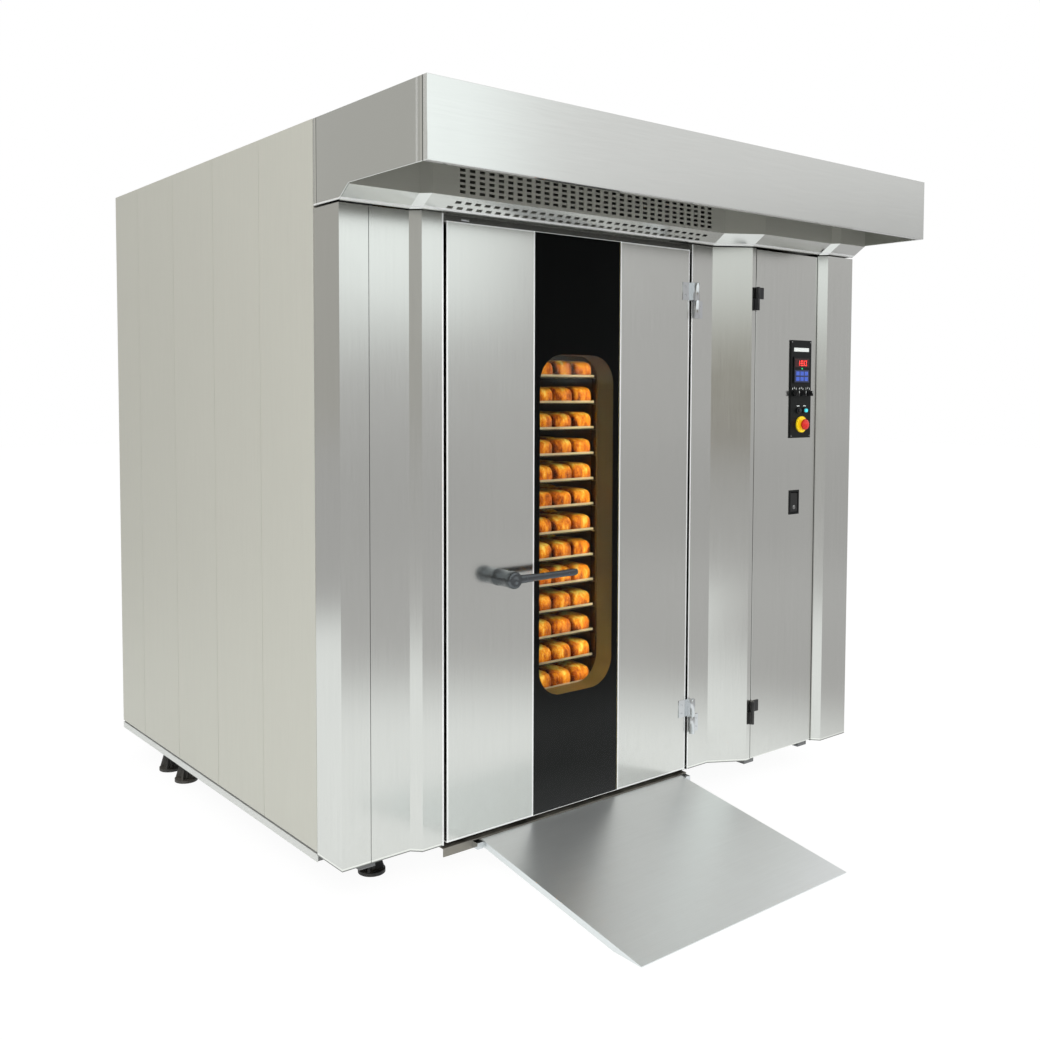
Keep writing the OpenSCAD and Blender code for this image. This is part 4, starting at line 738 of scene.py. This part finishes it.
def loaf_template():
    """A near square roll with a flat base and a broad domed top; its attribute mixes browning with painted
    light.
    """
    bm = bmesh.new()
    browning_and_painted_light = bm.verts.layers.float.new("browning_and_painted_light")
    around = 20
    rows = []
    for wide, z in LOAF_SHAPE:
        rows.append([])
        for k in range(around):
            x, y = squared(2 * math.pi * k / around, 0.28)
            vert = bm.verts.new((wide * x, wide * y, z))
            # Paler higher up and down the middle, darker at the sides: browning with a painted highlight, and
            # painted shade where loaves meet.
            vert[browning_and_painted_light] = 0.05 + 0.38 * z + 0.42 * (1.0 - (2 * abs(wide * x)) ** 2.2)
            rows[-1].append(vert)
    top = bm.verts.new((0, 0, 1.0))
    top[browning_and_painted_light] = 0.85
    bm.faces.new(rows[0][::-1])
    for lower, upper in zip(rows, rows[1:] + [[top]]):
        join_rings(bm, lower, upper)
    return finish_mesh(bm, "loaf_template", [], smooth=80.0)


def make_loaves():
    wide, deep = -2 * LOAF_LEFT / LOAF_COLUMNS, -2 * LOAF_FRONT / LOAF_ROWS
    points = []
    for number in range(TIERS * LOAF_COLUMNS * LOAF_ROWS):
        column, row = number // LOAF_ROWS % LOAF_COLUMNS, number % LOAF_ROWS
        tier = number // (LOAF_COLUMNS * LOAF_ROWS)
        wave = math.sin(number * 12.9898) * 43758.5453
        share = wave - math.floor(wave)
        x, y = LOAF_LEFT + (column + 0.5) * wide, LOAF_FRONT + (row + 0.5) * deep
        points.append(((x, y, LOAF_FOOT + tier * TIER_PITCH), (0.0, 0.0, 0.0),
                       (wide, deep, LOAF_HEIGHT + LOAF_RISE * share)))
    piece = copies("loaves_baked", loaf_template(), finish["bread_crust"], points, 0.99, 0.01, 0.01, seed=11)
    settle(piece, "rotor", "bread_crust", "loaves")


make_loaves()

# ---- Door hardware ----

FACING = {"-y": (math.pi / 2, 0.0, 0.0), "+y": (-math.pi / 2, 0.0, 0.0), "+z": (0.0, 0.0, 0.0)}
DOOR_FACE, LEVER_HUB_R = -0.840, 0.030
GRIP_HALF_DEPTH, GRIP_HALF_HEIGHT, GRIP_SETBACK = 0.009, 0.015, 0.013
HUB_PROFILE = [(0.0, LEVER_HUB_R), (0.005, LEVER_HUB_R), (0.008, 0.0285), (0.068, 0.0285),
               (0.072, LEVER_HUB_R), (0.090, LEVER_HUB_R), (0.0955, 0.0280), (0.0977, 0.024), (0.0977, 0.011),
               (0.0962, 0.009), (0.0962, 0.0)]
GRIP_SECTIONS = [(0.0, 0.80, 0.90), (0.10, 0.90, 1.0), (0.35, 0.80, 0.85), (0.75, 0.80, 0.80),
                 (0.93, 0.78, 0.85), (0.975, 0.66, 0.72), (0.995, 0.36, 0.42), (1.0, 0.12, 0.15)]
HINGE_HALF, HINGE_PLATE, HINGE_SCREW_INSET, HINGE_SCREWS = 0.070, 0.003, 0.014, (0.018, 0.052)


def screws(name, body, slot, places, facing, radius=0.0045, height=0.0018, finish_name="machined_steel"):
    """Low screw heads with round sockets, one at each place."""
    bm = bmesh.new()
    shape = ((0.0, 1.0), (0.55, 1.0), (1.0, 0.72), (1.0, 0.40), (0.35, 0.36), (0.35, 0.0))
    add_lathe(bm, (0, 0, 0), "z", [(up * height, out * radius) for up, out in shape], segments=12)
    template = finish_mesh(bm, "screw_template", [], smooth=40.0)
    points = [(spot, FACING[facing], (1.0, 1.0, 1.0)) for spot in places]
    return settle(copies(name, template, finish[finish_name], points), body, slot)


def add_grip(bm, sections):
    """A bar along X; sections are (x, centre y, centre z, half depth, half height), closed at both ends."""
    around, rings = 20, []
    for x, y, z, deep, high in sections:
        shares = [squared(2 * math.pi * k / around, 0.8) for k in range(around)]
        rings.append([bm.verts.new((x, y + deep * out, z + high * up)) for out, up in shares])
    bm.faces.new(rings[0][::-1])
    bm.faces.new(rings[-1])
    for first, second in zip(rings, rings[1:]):
        join_rings(bm, first, second)


def make_lever():
    """A round hub that stands out from the door and a tapering grip that points right at rest."""
    low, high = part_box("door_lever")
    x, y, z = low.x + LEVER_HUB_R, low.y + GRIP_SETBACK, (low.z + high.z) / 2
    bm = bmesh.new()
    add_turned(bm, x, DOOR_FACE - 0.0003, z, HUB_PROFILE, 40)
    add_lathe(bm, (x, 0, z), "y", [(DOOR_FACE - 0.001, 0.012), (high.y, 0.012)], segments=24)
    add_grip(bm, [(x + share * (high.x - x), y, z, GRIP_HALF_DEPTH * deep, GRIP_HALF_HEIGHT * tall)
                  for share, deep, tall in GRIP_SECTIONS])
    make_piece(bm, "lever_handle", [finish["lever_steel"]], "lever", "lever_steel", "door_lever", smooth=50.0)


def make_hinge_details():
    for part, body in (("door_hinge_leaves", "door"), ("door_hinge_pins", "casing"),
                       ("control_hinge_leaves", "control_door"), ("control_hinge_pins", "casing")):
        dressed(part, body, 0.0008)
    fixed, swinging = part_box("door_hinge_pins"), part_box("door_hinge_leaves")
    bottoms = (fixed[0].z, swinging[1].z - 2 * HINGE_HALF)
    for name, body, x, lift in (("hinge_screws_fixed", "casing", fixed[1].x - HINGE_SCREW_INSET, 0.0),
                                ("hinge_screws_door", "door", swinging[0].x + HINGE_SCREW_INSET, HINGE_HALF)):
        places = [(x, DOOR_FACE - HINGE_PLATE, z + lift + up) for z in bottoms for up in HINGE_SCREWS]
        screws(name, body, "hinge_chrome", places, "-y", finish_name="hinge_chrome")


make_lever()
make_hinge_details()

# ---- Control plate ----

PLATE_FACE, UNIT_FACE = -0.931, -0.935
LABEL_Z, DISPLAY_Z, KEYS_Z = (1.842, 1.858), (1.776, 1.812), (1.712, 1.764)
KNOB_MARKS_Z, BUTTON_MARKS_Z = (1.684, 1.692), (1.610, 1.6135)
STOP_X, BUTTON_OFF, SIGNAL_Z, KNOB_Z, BUTTON_Z, STOP_Z = 1.1975, 0.022, 1.770, 1.665, 1.592, 1.533
KNOB_PITCH, KNOB_SHIFT, MARK_SPREAD, MARK_HALF = 0.046, -0.003, 0.012, 0.0014
CAP_R, COLLAR_R, RING_R, STEM_R, HEAD_R = 0.0078, 0.0120, 0.0345, 0.008, 0.0230
SIGNAL_PROFILE = [(0.0, 0.0034), (0.0014, 0.0034), (0.0022, 0.0024), (0.0026, 0.0)]
RING_PROFILE = [(0.0, RING_R), (0.0052, RING_R), (0.0064, 0.0333), (0.0064, 0.0096), (0.0, 0.0090)]
HEAD_PROFILE = [(-0.018, STEM_R), (0.0158, STEM_R), (0.0160, 0.0200), (0.0180, 0.0228), (0.0225, HEAD_R),
                (0.0275, 0.0205), (0.0308, 0.0140), (0.0319, 0.0)]
LOCK_PROFILE = [(-0.001, 0.0085), (0.0006, 0.0085), (0.0012, 0.0075), (0.0012, 0.0030), (0.0004, 0.0028),
                (0.0004, 0.0)]
LABEL_INSET, UNIT_INSET = 0.018, 0.020
DIGIT_LEFT, DIGIT_PITCH, DIGIT_Z, DIGIT_WIDTH, DIGIT_HALF, BAR_HALF = 0.016, 0.024, 1.783, 0.013, 0.010, 0.0009
KEY_LEFT, KEY_FOOT, KEY_PITCH, KEY_SIZE = 0.008, 1.718, (0.029, 0.023), (0.023, 0.017)
PLATE_SCREW_INSET, PLATE_SCREW_Z, LOCK_UP = 0.006, (1.484, 1.882), 0.020
BARS = {"a": (0, 2, 1, 2), "b": (1, 1, 1, 2), "c": (1, 0, 1, 1), "d": (0, 0, 1, 0), "e": (0, 0, 0, 1),
        "f": (0, 1, 0, 2), "g": (0, 1, 1, 1)}
DIGITS = {"1": "bc", "8": "abcdefg", "0": "abcdef"}
SHOWN = "180"


def front_box(bm, x, z, face, proud, bevel=0.0004, index=0):
    """A thin block on an upright face, from x[0] to x[1] and from z[0] to z[1]."""
    add_box(bm, (x[0], face - proud, z[0]), (x[1], face + 0.0004, z[1]), bevel, index, 1)


def add_digits(bm, unit_left, face):
    """The seven-bar digits on show."""
    for number, sign in enumerate(SHOWN):
        left = unit_left + DIGIT_LEFT + number * DIGIT_PITCH
        for bar in DIGITS[sign]:
            x0, z0, x1, z1 = BARS[bar]
            front_box(bm, (left + x0 * DIGIT_WIDTH - BAR_HALF, left + x1 * DIGIT_WIDTH + BAR_HALF),
                      (DIGIT_Z + z0 * DIGIT_HALF - BAR_HALF, DIGIT_Z + z1 * DIGIT_HALF + BAR_HALF),
                      face, 0.0005, 0.0)


def make_plate_marks(left, right, pale):
    bm = bmesh.new()
    front_box(bm, (left + LABEL_INSET, right - LABEL_INSET), LABEL_Z, PLATE_FACE, 0.0006)
    for k in (-1, 0, 1):
        for side in (-MARK_SPREAD, 0.0, MARK_SPREAD):
            x = STOP_X + k * KNOB_PITCH + KNOB_SHIFT + side
            heights = [z - abs(side) * 0.25 for z in KNOB_MARKS_Z]
            front_box(bm, (x - MARK_HALF, x + MARK_HALF), heights, PLATE_FACE, 0.0004, 0.0)
    for x in (STOP_X - BUTTON_OFF, STOP_X + BUTTON_OFF):
        front_box(bm, (x - 0.009, x + 0.009), BUTTON_MARKS_Z, PLATE_FACE, 0.0004, 0.0)
    make_piece(bm, "plate_marks", [pale], "control_door", "control_black")


def make_display_unit(left, right):
    glowing = plastic("red display digits", tone(255, 70, 60), roughness=0.3, glow=1.6)
    window = plastic("dark display window", tone(52, 8, 12), roughness=0.15)
    # The blue keys glow faintly though they hold no lamp: a painted glow.
    blue = plastic("blue keys", tone(62, 92, 190), roughness=0.35, glow=0.12)
    membrane = plastic("key membrane", tone(38, 46, 84), roughness=0.4)
    green = plastic("green light", tone(30, 190, 110), roughness=0.3, glow=0.9)
    unit = (left + UNIT_INSET, right - UNIT_INSET)
    bm = bmesh.new()
    front_box(bm, unit, DISPLAY_Z, UNIT_FACE, 0.0010, 0.0006)
    add_digits(bm, unit[0], UNIT_FACE - 0.0010)
    make_piece(bm, "display_window", [window], "control_door", "control_black")
    bm = bmesh.new()
    add_digits(bm, unit[0], UNIT_FACE - 0.0012)
    make_piece(bm, "display_digits", [glowing], "control_door", "button_cyan")
    bm = bmesh.new()
    front_box(bm, unit, KEYS_Z, UNIT_FACE, 0.0008, 0.0006)
    for i in range(3):
        for k in range(2):
            x, z = unit[0] + KEY_LEFT + i * KEY_PITCH[0], KEY_FOOT + k * KEY_PITCH[1]
            front_box(bm, (x, x + KEY_SIZE[0]), (z, z + KEY_SIZE[1]), UNIT_FACE - 0.0008, 0.0012, 0.0008, 1)
    make_piece(bm, "key_unit", [membrane, blue], "control_door", "control_black")
    bm = bmesh.new()
    add_turned(bm, STOP_X - 0.004, UNIT_FACE + 0.0004, SIGNAL_Z, SIGNAL_PROFILE, 16)
    make_piece(bm, "green_lamp", [green], "control_door", "button_cyan")


def make_stop():
    """A red mushroom head over a yellow ring with four red marks."""
    # The yellow ring glows faintly though it is no lamp: a painted glow.
    yellow, red = plastic("yellow ring", tone(250, 214, 24), roughness=0.35, glow=0.15), finish["stop_red"]
    bm = bmesh.new()
    add_turned(bm, STOP_X, PLATE_FACE, STOP_Z, RING_PROFILE, 48, ring=True)
    for k in range(4):
        mark = add_box(bm, (-0.0008, -0.0068, 0.0262), (0.0008, -0.0060, 0.0318), 0.0, 1)
        turn_and_move(bm, mark, Matrix.Rotation(math.pi / 4 + k * math.pi / 2, 3, "Y"),
                      (STOP_X, PLATE_FACE, STOP_Z))
    make_piece(bm, "stop_ring", [yellow, red], "control_door", "control_black")
    bm = bmesh.new()
    add_turned(bm, STOP_X, PLATE_FACE, STOP_Z, HEAD_PROFILE, 40)
    make_piece(bm, "stop_head", [red], "stop", "stop_red", "stop_button", smooth=60.0)


def make_push_button(body, x, shade):
    """A cap that slides in a collar on the plate."""
    name, button = body + "_cap", body + "_button"
    out = PLATE_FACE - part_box(button)[0].y
    profile = [(-0.018, CAP_R), (out * 0.86, CAP_R), (out - 0.0006, 0.0072), (out, 0.0060), (out, 0.0)]
    bm = bmesh.new()
    add_turned(bm, x, PLATE_FACE, BUTTON_Z, profile, 28)
    make_piece(bm, name, [finish[shade]], body, slot_of[button], button)
    profile = [(0.0, COLLAR_R), (out * 0.40, COLLAR_R), (out * 0.50, 0.0108), (out * 0.50, 0.0088),
               (0.0, 0.0086)]
    bm = bmesh.new()
    add_turned(bm, x, PLATE_FACE, BUTTON_Z, profile, 28, ring=True)
    make_piece(bm, name + "_collar", [finish["button_black"]], "control_door", "control_black")


def make_selector(number, pale):
    """The knob with its edges broken and a pale pointer on its head."""
    knob, body = "selector_%d" % number, "knob_%d" % number
    dressed(knob, body, 0.0009)
    low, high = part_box(knob)
    x = (low.x + high.x) / 2
    bm = bmesh.new()
    add_box(bm, (x - 0.0009, low.y - 0.0002, KNOB_Z + 0.001), (x + 0.0009, low.y + 0.0006, high.z - 0.0015))
    make_piece(bm, "pointer_%d" % number, [pale], body, "knob_black")


def make_control_face():
    pale = plastic("pale print", tone(226, 230, 228), roughness=0.5)
    low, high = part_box("control_plate")
    make_plate_marks(low.x, high.x, pale)
    make_display_unit(low.x, high.x)
    make_stop()
    make_push_button("start", STOP_X - BUTTON_OFF, "button_black")
    make_push_button("lamp", STOP_X + BUTTON_OFF, "button_cyan")
    for number in (1, 2, 3):
        make_selector(number, pale)
    places = [(x, PLATE_FACE, z) for x in (low.x + PLATE_SCREW_INSET, high.x - PLATE_SCREW_INSET)
              for z in PLATE_SCREW_Z]
    screws("plate_screws", "control_door", "control_black", places, "-y", 0.0032, 0.0012)


def make_latch_details():
    dressed("latch_paddle", "paddle", 0.0006)
    low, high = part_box("latch_paddle")
    x, z = (low.x + high.x) / 2, low.z + LOCK_UP
    bm = bmesh.new()
    add_turned(bm, x, low.y, z, LOCK_PROFILE, 24)
    add_box(bm, (x - 0.0007, low.y - 0.0014, z - 0.005), (x + 0.0007, low.y - 0.0011, z + 0.005))
    make_piece(bm, "latch_lock", [finish["machined_steel"]], "paddle", "latch_black")


make_control_face()
make_latch_details()

# ---- Parts with broken edges ----

SWITCH_ASIDE, SWITCH_OVER = 0.072, 0.006

BROKEN_EDGES = (("hood_shell", "casing", 0.0016), ("door_skin", "door", 0.0012),
                ("control_door", "control_door", 0.0012), ("ramp_plate", "ramp", 0.0008),
                ("ramp_rod", "casing", 0.0012), ("levelling_feet", "casing", 0.0015),
                ("exhaust_duct", "casing", 0.0010), ("burner", "casing", 0.0020),
                ("fan_housing", "casing", 0.0012))
for broken in BROKEN_EDGES:
    dressed(*broken)


def make_door_switch():
    """The small bright switch over the door's left corner."""
    low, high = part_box("door_skin")
    x, z = low.x + SWITCH_ASIDE, high.z + SWITCH_OVER
    bm = bmesh.new()
    add_box(bm, (x, DOOR_FACE + 0.026, z), (x + 0.062, DOOR_FACE + 0.040, z + 0.014), 0.0015)
    add_box(bm, (x + 0.006, DOOR_FACE + 0.024, z + 0.003), (x + 0.040, DOOR_FACE + 0.0262, z + 0.011), 0.0006)
    make_piece(bm, "door_switch", [finish["hinge_chrome"]], "casing", "hinge_chrome")


make_door_switch()

# ---- Castor wheels ----

WHEEL_RIBS, WHEEL_BORE_R, WHEEL_BOSS_R, WHEEL_TREAD = 6, 0.0085, 0.016, 0.016


def make_castor_wheel(number):
    """A tyre with a rounded tread, a thinner web and ribs on both of its sides."""
    name, body = "castor_wheel_%d" % number, "wheel_%d" % number
    low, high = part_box(name)
    middle, radius, half = (low + high) / 2, (high.z - low.z) / 2, (high.x - low.x) / 2
    rim = [(-half, WHEEL_BORE_R), (-half, WHEEL_BOSS_R), (-half * 0.45, WHEEL_BOSS_R + 0.003),
           (-half * 0.45, radius - WHEEL_TREAD), (-half * 0.8, radius - 0.012), (-half * 0.9, radius - 0.004),
           (-half * 0.55, radius)]
    bm = bmesh.new()
    add_lathe(bm, middle, "x", rim + [(-a, r) for a, r in reversed(rim)], segments=48)
    for k in range(WHEEL_RIBS):
        rib = add_box(bm, (-half * 0.7, -0.0025, 0.014), (half * 0.7, 0.0025, radius - 0.012), 0.0008)
        turn_and_move(bm, rib, Matrix.Rotation(2 * math.pi * k / WHEEL_RIBS, 3, "X"), middle)
    make_piece(bm, body + "_tyre", [finish["castor_rubber"]], body, slot_of[name], name)


for wheel in (1, 2, 3, 4):
    make_castor_wheel(wheel)

# ---- Machinery on the roof and at the back ----

GEARBOX_LENGTH, GEARBOX_TOP, MOTOR_AXIS = 0.120, 2.343, 0.065
RIB_R, RIB_ROOT_R, MOTOR_RIBS = 0.060, 0.052, 14
MOTOR_CAP = [(0.055, RIB_R), (0.012, RIB_R), (0.003, 0.054), (0.003, 0.030), (0.001, 0.026), (0.001, 0.0)]
BURNER_AXIS_Z, BURNER_BOLT_R, BURNER_BOLTS = 0.500, 0.083, 8
FAN_FLANGE_OUT, FAN_BOLT_INSET, FAN_BOLT_ROW = 0.200, 0.02, 7


def make_gearmotor():
    """A ribbed motor and its foot, bolted to a gearbox under the pinion."""
    low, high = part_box("gearmotor")
    deck, box_end, top = low.z, low.y + GEARBOX_LENGTH, GEARBOX_TOP
    bm = bmesh.new()
    add_box(bm, (low.x, low.y, deck), (high.x, box_end, top), 0.005, segments=3)
    add_box(bm, (-0.046, low.y + 0.014, top - 0.002), (0.046, box_end - 0.014, top), 0.0008)
    length = high.y - box_end
    start, end = 0.040, length - 0.060
    pitch = (end - start) / MOTOR_RIBS
    profile = [(-0.001, 0.050), (0.020, 0.050), (0.026, 0.058), (0.034, RIB_R)]
    for k in range(MOTOR_RIBS):
        a = start + (end - start) * k / MOTOR_RIBS
        profile += [(a, RIB_ROOT_R), (a + pitch * 0.55, RIB_ROOT_R), (a + pitch * 0.55, RIB_R),
                    (a + pitch, RIB_R)]
    profile += [(length - short, radius) for short, radius in MOTOR_CAP]
    add_lathe(bm, (0, box_end, deck + MOTOR_AXIS), "y", profile, segments=48)
    add_box(bm, (-0.050, low.y + 0.190, deck), (0.050, low.y + 0.320, deck + 0.030), 0.003)
    slot = slot_of["gearmotor"]
    make_piece(bm, "gearmotor_ribbed", [finish["drive_paint"]], "casing", slot, "gearmotor")
    places = [(x, y, top) for x in (-0.040, 0.040) for y in (low.y + 0.020, box_end - 0.020)]
    screws("gearbox_bolts", "casing", slot, places, "+z", 0.005, 0.003)


def make_machine_bolts():
    """A ring of bolts on the burner's flange and two rows on the fan case."""
    low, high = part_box("burner")
    x, face = (low.x + high.x) / 2, low.y + 0.012
    angles = [2 * math.pi * k / BURNER_BOLTS for k in range(BURNER_BOLTS)]
    places = [(x + BURNER_BOLT_R * math.cos(a), face, BURNER_AXIS_Z + BURNER_BOLT_R * math.sin(a))
              for a in angles]
    screws("burner_bolts", "casing", slot_of["burner"], places, "+y", 0.006, 0.004)
    low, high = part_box("fan_housing")
    step = (high.x - low.x - 2 * FAN_BOLT_INSET) / (FAN_BOLT_ROW - 1)
    places = [(low.x + FAN_BOLT_INSET + step * k, low.y + FAN_FLANGE_OUT, z) for k in range(FAN_BOLT_ROW)
              for z in (low.z + FAN_BOLT_INSET, high.z - FAN_BOLT_INSET)]
    screws("fan_case_bolts", "casing", slot_of["fan_housing"], places, "+y", 0.005, 0.003)


make_gearmotor()
make_machine_bolts()

# ---- World, floor and lamps ----

HORIZON, LOW_SKY, HIGH_SKY, FAR_TONE = 0.55, 0.80, 0.86, 0.46
BOX_RIGHT, BOX_LEFT, BOX_FOOT, BOX_TOP = (0.86, 0.74), (-1.4, -1.1), (0.03, 0.09), (0.75, 0.6)
IN_FRONT, AT_THE_LEFT, RISE = (-0.90, -0.96), (-0.25, -0.45), (0.135, 0.18)
WARM_DARK, SIDE_GREY, LIGHT_BOX = (0.26, 0.235, 0.185, 1.0), (0.47, 0.465, 0.44, 1.0), (1.20, 1.27, 1.27, 1.0)
NEAR_FLOOR, FAR_FLOOR, FLOOR_CENTRE_X, FLOOR_GLOW, GLOW_SHARE = 2.8, 4.6, -1.5, 1.07, 0.88
TONGUE_LEFT, TONGUE_RIGHT, TONGUE_BACK, TONGUE_END = -1.2, 0.1, -1.0, 5.9


def rays(tree):
    """The camera's own rays, and those that a mirror or a pane sends on."""
    path = node(tree, "ShaderNodeLightPath").outputs
    sent_on = math_node(tree, "MAXIMUM", path["Is Glossy Ray"], path["Is Transmission Ray"])
    return path["Is Camera Ray"], sent_on


def make_world():
    """White for the camera; mirrors see a grey horizon under a paler sky, darker in front and at the left,

    and a big soft light box over both."""
    world = bpy.data.worlds.new("studio")
    bpy.context.scene.world = world
    world.use_nodes = True
    tree = world.node_tree
    tree.nodes.clear()
    aim = split(tree, node(tree, "ShaderNodeTexCoord").outputs["Generated"])
    side = math_node(tree, "DIVIDE", aim["X"], math_node(tree, "MAXIMUM", times(tree, aim["Y"], -1.0), 0.05))

    def step(value, ends):
        return spread(tree, value, *ends, kind="SMOOTHSTEP")

    across = times(tree, step(side, BOX_RIGHT), step(side, BOX_LEFT))
    upward = times(tree, step(aim["Z"], BOX_FOOT), step(aim["Z"], BOX_TOP))
    facing = step(aim["Y"], IN_FRONT)
    box = times(tree, times(tree, across, upward), minus(tree, 1.0, times(tree, facing, 0.3)))
    rise = ramp(tree, aim["Z"], [(0.0, grey(HORIZON)), (RISE[0], grey(HORIZON)), (RISE[1], grey(LOW_SKY)),
                                 (1.0, grey(HIGH_SKY))])
    sky = mix_colour(tree, step(aim["X"], AT_THE_LEFT), mix_colour(tree, facing, rise, WARM_DARK), SIDE_GREY)
    seen = mix_colour(tree, box, sky, LIGHT_BOX)
    shades = [node(tree, "ShaderNodeBackground", {"Color": colour, "Strength": strength}).outputs[0]
              for colour, strength in (((1.0, 0.995, 0.985, 1.0), 0.62), (seen, 1.0), (grey(1.0), 1.0))]
    camera_ray, mirrored = rays(tree)
    first = node(tree, "ShaderNodeMixShader", {0: mirrored, 1: shades[0], 2: shades[1]})
    last = node(tree, "ShaderNodeMixShader", {0: camera_ray, 1: first.outputs[0], 2: shades[2]})
    feed(tree, node(tree, "ShaderNodeOutputWorld").inputs["Surface"], last.outputs[0])


def make_floor():
    """A white sweep that takes the shadow; mirrors see it darker far away, but for a tongue in front."""
    bm = bmesh.new()
    bmesh.ops.create_grid(bm, x_segments=8, y_segments=8, size=30.0)
    for vert in bm.verts:
        vert.co.z -= 0.0005
    material, tree, shader, where = start_finish("studio floor")
    pale = ramp(tree, noise(tree, where, scale=2.0, detail=3.0), [(0.3, grey(0.86)), (0.7, grey(0.90))])
    into(tree, shader, Base_Color=pale, Roughness=0.9, Specular_IOR_Level=0.0)
    camera_ray, mirrored = rays(tree)
    moved = node(tree, "ShaderNodeVectorMath", {0: where, 1: (-FLOOR_CENTRE_X, 0.0, 0.0)},
                 operation="ADD").outputs[0]
    away = node(tree, "ShaderNodeVectorMath", {0: moved}, operation="LENGTH").outputs["Value"]
    spot = split(tree, where)
    tongue = times(tree, math_node(tree, "LESS_THAN", spot["X"], TONGUE_RIGHT),
                   math_node(tree, "LESS_THAN", spot["Y"], TONGUE_BACK))
    tongue = times(tree, tongue, math_node(tree, "GREATER_THAN", spot["X"], TONGUE_LEFT))
    tongue = times(tree, tongue, math_node(tree, "LESS_THAN", away, TONGUE_END))
    far = times(tree, spread(tree, away, NEAR_FLOOR, FAR_FLOOR, kind="SMOOTHSTEP"), minus(tree, 1.0, tongue))
    close = mix_colour(tree, mirrored, grey(1.0), (0.965, 1.0, 1.0, 1.0))
    shown = mix_colour(tree, times(tree, far, mirrored), close, grey(FAR_TONE))
    share = times(tree, math_node(tree, "MAXIMUM", camera_ray, mirrored), GLOW_SHARE)
    white = node(tree, "ShaderNodeEmission", {"Color": shown, "Strength": FLOOR_GLOW})
    both = node(tree, "ShaderNodeMixShader", {0: share, 1: shader.outputs[0], 2: white.outputs[0]})
    feed(tree, tree.nodes["Material Output"].inputs["Surface"], both.outputs[0])
    floor = finish_mesh(bm, "studio_floor", [material])


def lamp(name, spot, target, size, power, colour):
    """A soft area lamp that mirrors don't show."""
    data = bpy.data.lights.new(name, "AREA")
    data.shape = "RECTANGLE"
    data.size, data.size_y = size
    data.energy = power
    data.color = colour
    made = add_object(name, data)
    made.location = spot
    made.rotation_mode = "QUATERNION"
    made.rotation_quaternion = (Vector(target) - Vector(spot)).to_track_quat("-Z", "Y")
    made.visible_glossy = False


make_world()
make_floor()
lamp("key", (-4.2, -6.0, 4.6), (0.2, 0.0, 1.1), (4.0, 3.0), 260.0, (1.0, 0.985, 0.96))
lamp("fill", (5.5, -5.0, 3.2), (0.6, -0.6, 1.2), (3.0, 3.0), 120.0, (0.95, 0.98, 1.0))
for side in (-1, 1):
    lamp("chamber_lamp_%d" % (side + 2), (side * 0.655, -0.66, 1.20), (side * 0.10, -0.2, 1.20), (0.06, 1.5),
         16.0, (1.0, 0.80, 0.46))

view = bpy.context.scene.view_settings
view.view_transform = "Standard"
